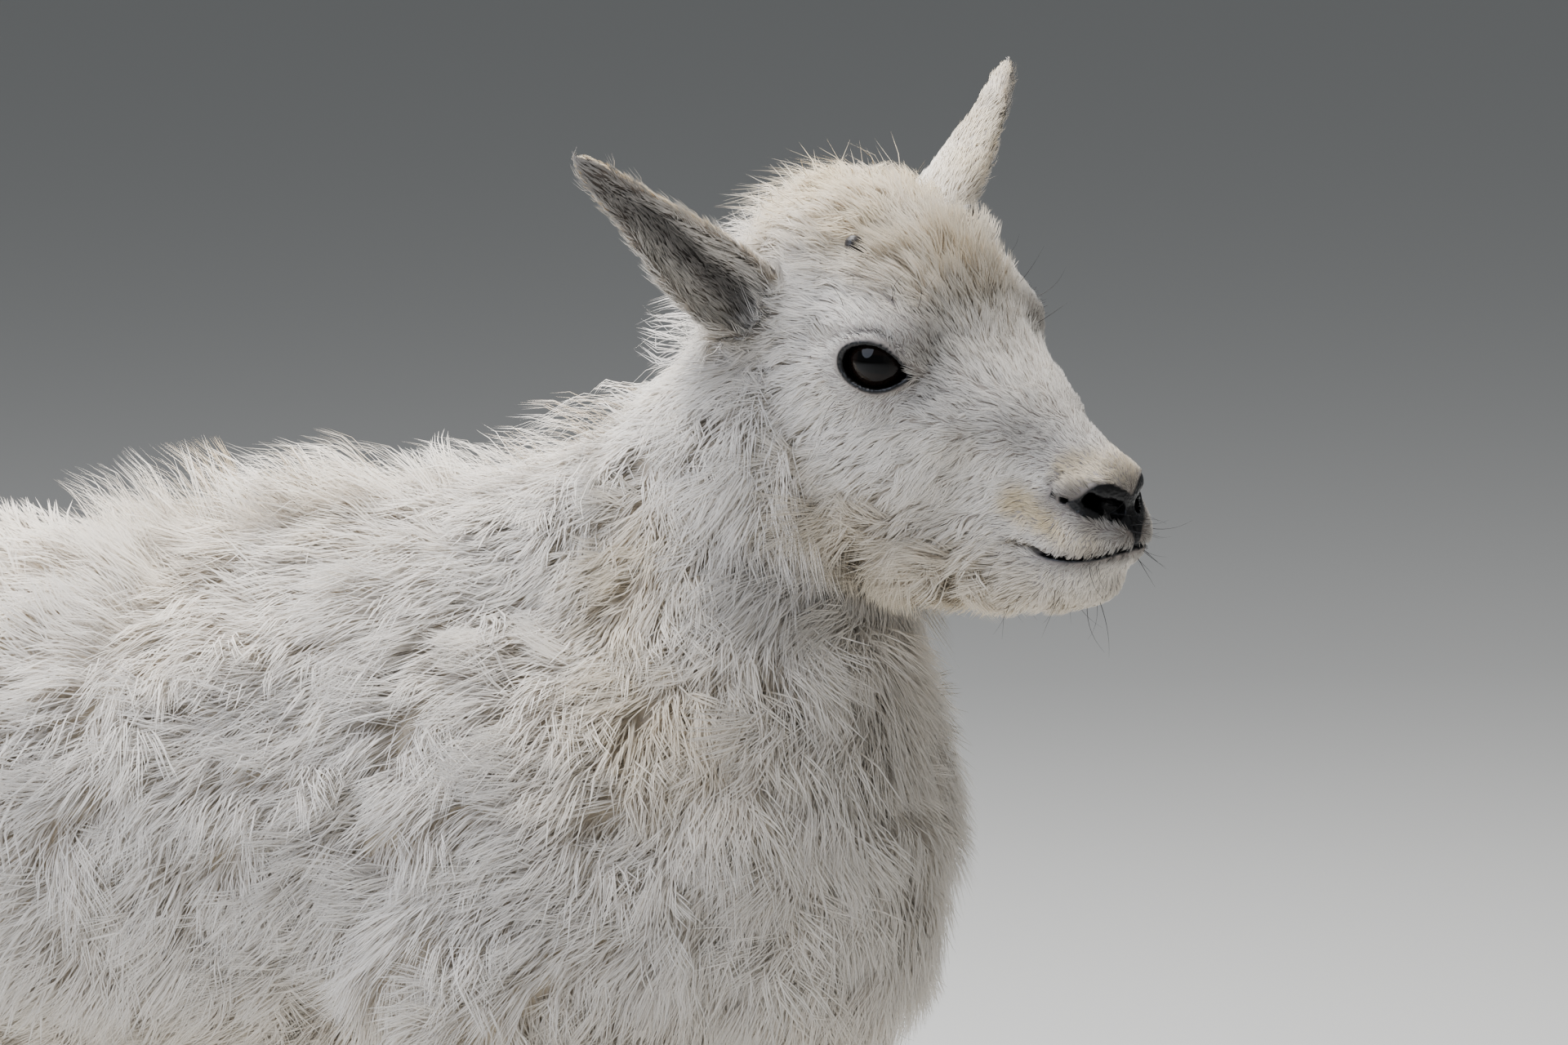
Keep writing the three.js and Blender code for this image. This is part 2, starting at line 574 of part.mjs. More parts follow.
// The lie of the coat: back along the spine, back and down on the sides, down on the neck, chest and rump.
function lieAt(p, out) {
  const spine = ramp(out[2], 0.45, 0.9),
    belly = ramp(-out[2], 0.5, 0.9);
  const front = ramp(p[0], 130, 215),
    rear = ramp(-p[0], 190, 250);
  let way = mixed([-0.6, 0, -0.75], [-0.12, 0, -1], Math.max(front, rear));
  way = mixed(way, [-1, 0, -0.1], spine);
  return mixed(way, [-1, 0, 0], belly * (1 - rear));
}
function lock({ mass, root, lie, length, width, thick, lift, curl = 0 }, more = 0) {
  const grown = 1 + (more * 2.2) / thick;
  const spine = [];
  let at = root,
    out = slope(mass, at),
    way = across(lie, out),
    gone = 0;
  for (const [i, place] of [...LOCK_PLACES, 1].entries()) {
    const target = place * length - gone;
    for (let n = 0; n < 3 && i; n++) {
      at = add(at, way, target / 3);
      out = slope(mass, at);
      at = add(at, out, clamp(-mass(at), -30, 30));
      way = across(add(way, cross(out, way), curl / 6), out);
    }
    gone += target;
    const height = i ? lift * LOCK_LIFTS[i - 1] : -SUNK;
    spine.push({ at: add(at, out, height), out, way });
  }
  const facing = add(spine[0].out, spine[1].out, 1.5);
  const rings = LOCK_PLACES.map((_, i) => {
    const along = unit(sub(spine[i + 1].at, spine[Math.max(i - 1, 0)].at));
    const up = across(facing, along),
      side = cross(along, up);
    const wide = (width / 2) * LOCK_WIDTHS[i] * grown,
      deep = (thick / 2) * LOCK_WIDTHS[i] * grown;
    const under = add(spine[i].at, up, -0.8 * deep);
    return [add(under, side, wide), add(spine[i].at, up, 1.2 * deep), add(under, side, -wide)];
  });
  const tip = spine.at(-1).at;
  return loft(rings, middleOf(rings[0]), add(tip, unit(sub(tip, spine.at(-2).at)), more * 9));
}
// A lock's size varies a little about its region's.
function grownFrom(mass, root, lie, kind) {
  const vary = chance(0.86, 1.14);
  const wave = cross(slope(mass, root), unit(lie));
  return {
    mass,
    root,
    lie: add(unit(lie), wave, chance(-0.2, 0.2)),
    length: kind.length * vary,
    width: kind.width * chance(0.9, 1.1),
    thick: kind.thick,
    lift: kind.lift * chance(0.85, 1.15),
    curl: chance(-0.9, 0.9),
  };
}
const FLEECE = { length: 92, width: 56, thick: 7, lift: 13 };
const CREST = { length: 64, width: 28, thick: 7.5, lift: 30 };
const CHEST = { length: 90, width: 46, thick: 7, lift: 14 };
const RUFF = { length: 80, width: 48, thick: 7, lift: 13 };
const SKIRT = { length: 60, width: 46, thick: 6, lift: 11 };
const CROWN_TUFT = { length: 46, width: 34, thick: 6, lift: 10 };
const JAW_TUFT = { length: 44, width: 30, thick: 5, lift: 6.5 };
const BREECH = { length: 62, width: 38, thick: 5.5, lift: 8 };
const TAIL_TUFT = { length: 50, width: 24, thick: 5.5, lift: 8 };

// Roots in staggered rows: one row to a frame, spread evenly round it between two turns from its top.
const ROW_SHIFT = 0.5;
function rowsOn(mass, frames, perRow, from, to, kindAt) {
  return frames.flatMap((frame, r) =>
    Array.from({ length: perRow }, (_, k) => {
      const place = k + 0.25 + ROW_SHIFT * (r % 2) + chance(-0.12, 0.12);
      const turned = radians(mix(from, to, place / perRow));
      const way = add(scale(frame.up, Math.cos(turned)), frame.side, Math.sin(turned));
      const root = reached(mass, frame.at, way);
      const out = slope(mass, root);
      return grownFrom(mass, root, lieAt(root, out), kindAt(root, out));
    }),
  );
}
function trunkLocks() {
  const kind = (root, out) => (root[0] > 185 && out[0] > 0.3 ? CHEST : FLEECE);
  const fan = [-50, -70].map((turned) => fanFrame(radians(turned)));
  const upright = steps(30, -206, 5).map((x) => ({ at: [x, 0, WITHERS - 98], side: ACROSS, up: UP }));
  const frames = [...fan, ...upright];
  const sides = [1, -1].flatMap((sign) => rowsOn(body, frames, 4, 10 * sign, 172 * sign, kind));
  const rear = [34, 70].map((turned) => {
    const back = [-Math.cos(radians(turned)), 0, 0];
    return { back, spread: Math.sin(radians(turned)) };
  });
  const rump = rear.flatMap(({ back, spread }, r) =>
    [-132, -84, -38, 38, 84, 132].slice(r ? 0 : 1, r ? 6 : 5).map((turned) => {
      const around = [0, Math.sin(radians(turned)), Math.cos(radians(turned))];
      const root = reached(body, [RUMP_X + 58, 0, WITHERS - 92], unit(add(back, around, spread)));
      return grownFrom(body, root, lieAt(root, slope(body, root)), FLEECE);
    }),
  );
  const bib = [-45, -57, -70].flatMap((turned, r) =>
    [-30, 0, 30].slice(r % 2).map((y) => {
      const frame = fanFrame(radians(turned));
      const root = reached(body, add(frame.at, ACROSS, y - (r % 2) * 15), scale(frame.up, -1));
      return grownFrom(body, root, [0, 0, -1], CHEST);
    }),
  );
  const skirts = [1, -1].flatMap((sign) =>
    [
      [foreleg, foreCentre, ELBOW],
      [hindleg, hindCentre, STIFLE],
    ].flatMap(([leg, centre, top]) => {
      const mass = onSide(leg, sign);
      const frame = levelFrame(centre(top), sign * LEG_Y, top + 20);
      const rows = rowsOn(mass, [frame], 5, 18, 378, () => SKIRT);
      return rows.map((one) => ({ ...one, lie: add([0, 0, -1], one.lie, 0.1) }));
    }),
  );
  const crest = steps(80, -222, 9).map((x, i) => {
    const root = reached(body, [x, (i % 2 ? 1 : -1) * 7, WITHERS - 60], UP);
    const kind = { ...CREST, lift: mix(CREST.lift, 15, ramp(-x, -40, 130)) };
    return grownFrom(body, root, [-1, 0, 0.1], kind);
  });
  return [...sides, ...rump, ...bib, ...crest, ...skirts];
}
function between(frames, t) {
  const place = t * (frames.length - 1),
    first = Math.min(Math.floor(place), frames.length - 2);
  const [a, b] = [frames[first], frames[first + 1]];
  const up = unit(mixed(a.up, b.up, place - first));
  const side = across(mixed(a.side, b.side, place - first), up);
  return { at: mixed(a.at, b.at, place - first), side, up };
}
function neckLocks() {
  const frames = neckWay();
  const rows = [0.1, 0.36, 0.6, 0.84].map((t) => between(frames, t));
  const sides = [1, -1].flatMap((sign) => rowsOn(body, rows, 3, 12 * sign, 172 * sign, () => RUFF));
  const crest = steps(0.1, 0.96, 6).map((t, i) => {
    const frame = between(frames, t);
    const root = reached(body, add(frame.at, frame.side, (i % 2 ? 1 : -1) * 7), frame.up);
    return grownFrom(body, root, [-1, 0, 0.35], { ...CREST, lift: CREST.lift + 3 });
  });
  return [...sides, ...crest];
}
function headLocks() {
  const mass = body;
  const crown = [
    [-8, 0],
    [-26, -24],
    [-26, 24],
    [-34, 0],
    [-54, -14],
    [-54, 14],
    [-62, -34],
    [-62, 34],
    [-78, 0],
  ].map(([x, y]) => {
    const root = reached(mass, fromHead([x, y, 0]), CROWN);
    return grownFrom(mass, root, aimed([-1, y / 60, 0]), CROWN_TUFT);
  });
  const jaw = [1, -1].flatMap((sign) =>
    [
      [44, 12, -0.85],
      [20, 16, -0.85],
      [28, 24, -0.3],
      [4, 28, -0.3],
      [-16, 30, 0.1],
    ].map(([x, y, down]) => {
      const way = unit([0, sign * Math.max(0.1, 1 + down), down]);
      const root = reached(mass, fromHead([x, sign * y * 0.3, -46]), aimed(way));
      return grownFrom(mass, root, aimed([-0.75, 0, -0.55]), JAW_TUFT);
    }),
  );
  return [...crown, ...jaw];
}
function legLocks(leg, centre, top, sign) {
  const mass = onSide(leg, sign);
  const frame = levelFrame(centre(top - 24), sign * LEG_Y, top - 24);
  const rows = rowsOn(mass, [frame], 4, 40, 400, () => BREECH);
  return rows.map((one) => {
    const length = Math.min(one.length, one.root[2] - (top > STIFLE ? KNEE : HOCK) - 6);
    return { ...one, length, lie: add([0, 0, -1], one.lie, 0.1) };
  });
}
function tailLocks() {
  const along = unit(sub(TAIL_TIP, TAIL_ROOT)),
    up = across(UP, along);
  const frames = [{ at: add(TAIL_ROOT, along, 44), side: ACROSS, up }];
  const rows = rowsOn(tailMass, frames, 4, 0, 360, () => TAIL_TUFT);
  return rows.map((one) => ({ ...one, lie: add(along, one.lie, 0.1) }));
}
const clump = (locks, more = 0) => wasm.Manifold.union(locks.map((one) => lock(one, more)));

const hair = { color: 0xe9e4da, roughness: 0.95, metalness: 0 };
const finishes = {
  coat: new THREE.MeshStandardMaterial(hair),
  ear: new THREE.MeshStandardMaterial({ ...hair, color: 0xb9b4b2 }),
  eye: new THREE.MeshStandardMaterial({ color: 0x0b0807, roughness: 0.05, metalness: 0 }),
  hoof: new THREE.MeshStandardMaterial({ color: 0x2b2624, roughness: 0.55, metalness: 0 }),
  horn: new THREE.MeshStandardMaterial({ color: 0x4a443f, roughness: 0.6, metalness: 0 }),
};

const kid = new THREE.Group();
kid.position.set(-MIDDLE.x, -MIDDLE.y, 0);
function show(name, made, finish) {
  const { vertProperties, triVerts } = largest(made).getMesh();
  const geometry = new THREE.BufferGeometry();
  geometry.setAttribute("position", new THREE.BufferAttribute(vertProperties, 3));
  geometry.setIndex(new THREE.BufferAttribute(triVerts, 1));
  geometry.computeVertexNormals();
  const mesh = new THREE.Mesh(geometry, finishes[finish]);
  mesh.name = name;
  kid.add(mesh);
}

// Nodes, each clear of the locks of the ones before it: head, neck, trunk and what hangs from them.
const FAT = GAP + 0.1;
const all = (...solids) => wasm.Manifold.union(solids.flat());
const coated = (core, locks, others) => largest(core.add(clump(locks)).subtract(all(others)));
const tufts = { head: headLocks(), neck: neckLocks(), torso: trunkLocks() };
const headFat = toBody(headCore(coatDepth, FAT));
const neckFat = neckCore(coatDepth, FAT);
const torsoFat = trunkCore(coatDepth, FAT);
const head = coated(toBody(headSolid(coatDepth)), tufts.head, neckFat);
const clearOfHead = all(head, headFat, clump(tufts.head, FAT));
const neck = coated(neckCore(coatDepth), tufts.neck, [clearOfHead, torsoFat]);
const clearOfNeck = all(clearOfHead, neck, neckFat, clump(tufts.neck, FAT));
const thighs = [1, -1].flatMap((sign) =>
  [
    [foreleg, foreCentre, ELBOW, KNEE],
    [hindleg, hindCentre, STIFLE, HOCK],
  ].map(([mass, centre, top, joint]) =>
    legLength(swollen(mass, coatDepth, FAT), centre, sign, [top - HALF_GAP, top - 30, joint + 30]),
  ),
);
const clearOfNeckLocks = [clearOfHead, neck, clump(tufts.neck, FAT)];
const torso = coated(trunkCore(coatDepth), tufts.torso, [...clearOfNeckLocks, ...thighs]);
const clearOfTrunk = all(clearOfNeck, torso, torsoFat, clump(tufts.torso, FAT));

show("head", head, "coat");
show("neck", neck, "coat");
show("torso", torso, "coat");
show("tail", coated(tail(() => 0), tailLocks(), clearOfTrunk), "coat");
for (const [side, sign] of [
  ["left", 1],
  ["right", -1],
]) {
  show("eye_" + side, toBody(eyeball(EYE_RADIUS, sign)), "eye");
  show("ear_" + side, toBody(ear(sign)).subtract(clearOfNeck), "ear");
  show("horn_bud_" + side, toBody(hornBud(sign)).subtract(clearOfNeck), "horn");
  const legs = [
    ["foreleg", foreleg, foreCentre, ELBOW, KNEE, FORE_X, 0],
    ["hindleg", hindleg, hindCentre, STIFLE, HOCK, HIND_X - 25, -2],
  ];
  for (const [leg, mass, centre, top, joint, x, shift] of legs) {
    const upper = steps(top - HALF_GAP, joint + HALF_GAP, 7);
    const pastern = steps(FETLOCK + 14, CORONET, 5);
    const lower = [...steps(joint - HALF_GAP, joint - 26, 3), joint - 60, ...pastern];
    const upperCore = legLength(swollen(mass, coatDepth), centre, sign, upper);
    const lowerCore = legLength(swollen(mass, coatDepth), centre, sign, lower);
    const lowerFat = legLength(swollen(mass, coatDepth, FAT), centre, sign, lower);
    const name = leg + "_" + side;
    const locks = legLocks(mass, centre, top, sign);
    show(name + "_upper", coated(upperCore, locks, [clearOfTrunk, lowerFat]), "coat");
    show(name + "_lower", lowerCore, "coat");
    const y = sign * (LEG_Y + shift);
    for (const [which, way] of [
      ["inner", -sign],
      ["outer", sign],
    ]) {
      const clawY = y + way * (CLAW.width / 2 + CLAW.split / 2);
      show(name + "_claw_" + which, claw(x + 19, clawY, way), "hoof");
      show(name + "_dewclaw_" + which, dewclaw(x - 3, y + way * 8, lowerFat), "hoof");
    }
  }
}

export default kid;
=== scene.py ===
"""A mountain goat kid, life size, with its head turned: skin, woolly coat, eyes, horn buds and hooves."""

import logging
import math
from dataclasses import dataclass, field
from enum import Enum
from typing import Callable, Dict, List, Sequence, Tuple, Union

import bpy
import numpy as np
from mathutils import Matrix, Vector
from mathutils.kdtree import KDTree


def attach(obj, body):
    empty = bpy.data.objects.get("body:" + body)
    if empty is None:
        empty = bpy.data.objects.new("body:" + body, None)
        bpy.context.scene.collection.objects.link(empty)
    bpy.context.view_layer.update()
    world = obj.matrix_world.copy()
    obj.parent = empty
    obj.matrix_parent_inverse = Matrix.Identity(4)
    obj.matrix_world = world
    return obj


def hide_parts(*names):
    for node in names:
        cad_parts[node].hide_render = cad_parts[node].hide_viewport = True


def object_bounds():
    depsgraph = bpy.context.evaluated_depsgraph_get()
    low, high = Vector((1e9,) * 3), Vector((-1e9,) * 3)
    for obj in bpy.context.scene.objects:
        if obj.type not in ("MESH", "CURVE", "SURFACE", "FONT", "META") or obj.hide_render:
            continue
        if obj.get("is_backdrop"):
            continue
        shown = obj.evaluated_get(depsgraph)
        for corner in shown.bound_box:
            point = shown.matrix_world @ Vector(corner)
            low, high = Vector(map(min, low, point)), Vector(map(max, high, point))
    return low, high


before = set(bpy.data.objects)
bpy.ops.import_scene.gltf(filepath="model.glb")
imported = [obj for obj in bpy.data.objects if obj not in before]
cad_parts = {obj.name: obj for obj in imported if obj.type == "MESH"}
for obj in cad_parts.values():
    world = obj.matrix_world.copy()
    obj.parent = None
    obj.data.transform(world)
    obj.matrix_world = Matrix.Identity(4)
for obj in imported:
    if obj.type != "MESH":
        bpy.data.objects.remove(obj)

LOG = logging.getLogger("kid")
Array = np.ndarray
Axes = Tuple[Array, Array, Array]
Value = Union[float, Array]

# The body's own frame, in millimetres: +X from rump to chest, +Y to the left, +Z up from the floor.
MIDDLE = np.array([16.4, 4.8, 0.0])
MM = 0.001

# Driving sizes, as the solids have them: heights over the floor, places along the body and half widths.
WITHERS = 454.0
BELLY = 256.0
CHEST_X = 241.0
RUMP_X = -268.0
HALF_WIDTH = 86.0
ELBOW = 229.0
STIFLE = 228.0
KNEE = 141.0
HOCK = 160.0
FETLOCK = 46.0
CORONET = 23.0
FORE_X = 104.0
HIND_X = -205.0
LEG_Y = 48.0
# The point between the eyes, and the left eye's place and facing in the head's own frame.
EYE_MIDDLE = np.array([263.0, -20.0, 534.0])
EYE_RADIUS = 13.2
EYE_AT = np.array([-6.0, 31.5, -2.5])
EYE_FACES = np.array([0.34, 0.92, 0.17])
# The eye's opening: half its length and height, and how far it narrows and drops towards the tear duct.
SLIT_HALF = 12.3
SLIT_HIGH = 8.0
SLIT_FRONT = 11.8
SLIT_NARROWS = 0.34
SLIT_DROPS = 0.9
# The nose, the nape and the place where a horn bud comes out of the wool, in the head's own frame.
NOSE_X = 97.0
NAPE_X = -85.0
BUD_SHOWS = np.array([-30.0, 29.5, 28.0])
# The ears turn each its own way. Each row is the left ear's and then the right one's, with y made positive.
EAR_ROOTS = np.array([[-56.0, 36.0, 2.0], [-56.0, 36.0, -11.0]])
EAR_ALONG = np.array([[-36.0, 82.0, 38.0], [-40.0, 82.0, 66.0]])
EAR_OPENS = np.array([[0.45, 0.53, -0.7], [0.85, 0.42, 0.0]])
EAR_LENGTH = 108.0
EAR_HALF_WIDTH = 15.0
TAIL_ROOT = np.array([-240.0, 0.0, 405.0])
TAIL_TIP = np.array([-293.0, 0.0, 352.0])
# Hair of this length counts as long in the finishes.
LONG_HAIR = 40.0


# Small mathematics


def unit(v: Array) -> Array:
    """Vectors of length one.

    Args:
        v: vectors along the last axis.

    Returns:
        The same directions at unit length.
    """
    return v / np.maximum(np.linalg.norm(v, axis=-1, keepdims=True), 1e-9)


def ramp(v: Array, low: float, high: float) -> Array:
    """A smooth step.

    Args:
        v: values.
        low: value where the step starts at 0.
        high: value where it ends at 1.

    Returns:
        The step's height, from 0 to 1.
    """
    t = np.clip((v - low) / (high - low), 0.0, 1.0)
    return t * t * (3.0 - 2.0 * t)


def mix(a: Value, b: Value, t: Value) -> Value:
    """A value between a and b, at share t."""
    return a + (b - a) * t


def bell(*ways: Tuple[Array, float, float]) -> Array:
    """A soft spot, 1 at its middle, from a value, its middle and its reach for each way."""
    return np.exp(-sum(((value - middle) / reach) ** 2 for value, middle, reach in ways))


def soften(a: Array, b: Array, blend: float) -> Array:
    """The union of two masses with a fillet.

    Args:
        a: distances to the first mass.
        b: distances to the second.
        blend: width of the fillet in mm.

    Returns:
        Distances to both as one.
    """
    h = np.maximum(blend - np.abs(a - b), 0.0) / max(blend, 1e-6)
    return np.minimum(a, b) - h * h * blend * 0.25


def carve(a: Array, b: Array, blend: float) -> Array:
    """Mass a without b, with the edge rounded over blend mm."""
    return -soften(-a, b, blend)


def ball(p: Axes, at: Sequence[float], radii: Sequence[float], tilt: float = 0.0) -> Array:
    """Distances to an ellipsoid.

    Args:
        p: x, y and z of the points.
        at: its centre.
        radii: its half axes.
        tilt: degrees turned about Y.

    Returns:
        Signed distances, about true near the surface.
    """
    c, s = math.cos(math.radians(tilt)), math.sin(math.radians(tilt))
    x, y, z = p[0] - at[0], p[1] - at[1], p[2] - at[2]
    a, b, d = (c * x - s * z) / radii[0], y / radii[1], (s * x + c * z) / radii[2]
    k = np.sqrt(a * a + b * b + d * d)
    slope = np.sqrt((a / radii[0]) ** 2 + (b / radii[1]) ** 2 + (d / radii[2]) ** 2)
    return k * (k - 1.0) / np.maximum(slope, 1e-6)


def limb(
    p: Axes, start: Sequence[float], end: Sequence[float], r0: float, r1: float, flat: float = 1.0
) -> Array:
    """Distances to a tapered rod with round ends.

    Args:
        p: x, y and z of the points.
        start: centre of one end.
        end: centre of the other.
        r0: radius at start.
        r1: radius at end.
        flat: how wide it is in Y against its height.

    Returns:
        Signed distances.
    """
    way = np.subtract(end, start)
    q = [p[i] - start[i] for i in range(3)]
    t = np.clip((q[0] * way[0] + q[1] * way[1] + q[2] * way[2]) / float(way @ way), 0.0, 1.0)
    x, y, z = q[0] - t * way[0], (q[1] - t * way[1]) / flat, q[2] - t * way[2]
    return np.sqrt(x * x + y * y + z * z) - (r0 + (r1 - r0) * t)


def joined(parts: Sequence[Tuple[Array, float]]) -> Array:
    """The union of several masses.

    Args:
        parts: distances to each mass, with the width in mm of its fillet to those before it.

    Returns:
        Distances to all as one.
    """
    total = parts[0][0]
    for mass, blend in parts[1:]:
        total = soften(total, mass, blend)
    return total


def columns(points: Array) -> Axes:
    """The x, y and z of points as three arrays."""
    return points[..., 0], points[..., 1], points[..., 2]


def folded(points: Array) -> Axes:
    """The x, y and z of points, with y made positive."""
    return points[..., 0], np.abs(points[..., 1]), points[..., 2]


def stacked(x: Value, y: Value, z: Value) -> Array:
    """Vectors from their x, y and z, of which at least one is an array."""
    return np.stack(np.broadcast_arrays(x, y, z), -1).astype(float)


def steer(way: Array, turns: Sequence[Tuple[Sequence[float], Array]]) -> Array:
    """Turns directions towards others, one after another.

    Args:
        way: the directions to start from.
        turns: the other directions, each with its share at every place.

    Returns:
        The directions, not of unit length.
    """
    for other, share in turns:
        way = mix(way, np.asarray(other), share[:, None])
    return way


def off_ridge(points: Array) -> Array:
    """How far places lie to the side of the line from rump to nape, which follows the turned head."""
    return np.abs(points[:, 1] + 0.045 * points[:, 0])


class HeadFrame:
    """The head's own frame: x along the muzzle, y to its left and z to its crown, from between the eyes."""

    def __init__(self, nod: float = 20.0, turn: float = 19.0, lean: float = 6.0) -> None:
        """Works out the axes.

        Args:
            nod: degrees that the muzzle points down.
            turn: degrees that it points to the kid's right.
            lean: degrees that the head leans about the muzzle.
        """
        n, t, r = (math.radians(a) for a in (nod, turn, lean))
        forward = np.array([math.cos(n) * math.cos(t), -math.cos(n) * math.sin(t), -math.sin(n)])
        left = np.array([math.sin(t), math.cos(t), 0.0])
        up = np.array([math.sin(n) * math.cos(t), -math.sin(n) * math.sin(t), math.cos(n)])
        self.axes = np.stack(
            [forward, left * math.cos(r) + up * math.sin(r), up * math.cos(r) - left * math.sin(r)]
        )

    def into(self, points: Array) -> Array:
        """Points of the body's frame in the head's."""
        return (points - EYE_MIDDLE) @ self.axes.T

    def out(self, points: Array) -> Array:
        """Points of the head's frame in the body's."""
        return np.asarray(points) @ self.axes + EYE_MIDDLE

    def aim(self, ways: Array) -> Array:
        """Directions of the head's frame in the body's."""
        return np.asarray(ways) @ self.axes


HEAD = HeadFrame()


class EyeFrame:
    """The left eye's frame in the head's: along the slit, up across it, and out through the pupil."""

    def __init__(self) -> None:
        """Works out the axes."""
        self.out = unit(EYE_FACES)
        along = np.array([1.0, 0.0, 0.22])
        self.along = unit(along - self.out * (along @ self.out))
        self.up = unit(np.cross(self.along, self.out))
        if self.up[2] < 0.0:
            self.up = -self.up

    def into(self, x: Array, y: Array, z: Array) -> Axes:
        """Head points, with y already made positive, along the slit, up across it and out."""
        q = (x - EYE_AT[0], y - EYE_AT[1], z - EYE_AT[2])
        return tuple(q[0] * v[0] + q[1] * v[1] + q[2] * v[2] for v in (self.along, self.up, self.out))


EYE = EyeFrame()


class EarFrames:
    """Both ears' frames in the head's: along each one's length, the way its cup opens, and across."""

    def __init__(self) -> None:
        """Works out the axes."""
        along = unit(EAR_ALONG)
        opens = unit(EAR_OPENS - along * np.sum(EAR_OPENS * along, axis=1, keepdims=True))
        self.axes = np.stack([along, opens, np.cross(along, opens)], 1)

    def own(self, h: Array) -> Array:
        """The axes of the ear on each head point's side, with y made positive."""
        return self.axes[(h[:, 1] < 0.0).astype(int)]

    def into(self, h: Array) -> Axes:
        """Head points along their own side's ear, out of its cup and across."""
        q = stacked(*folded(h)) - EAR_ROOTS[(h[:, 1] < 0.0).astype(int)]
        return columns(np.einsum("nij,nj->ni", self.own(h), q))

    def way(self, h: Array, axis: int) -> Array:
        """One axis of each head point's own ear, on its own side."""
        way = self.own(h)[:, axis].copy()
        way[:, 1] *= np.where(h[:, 1] < 0.0, -1.0, 1.0)
        return way


EARS = EarFrames()


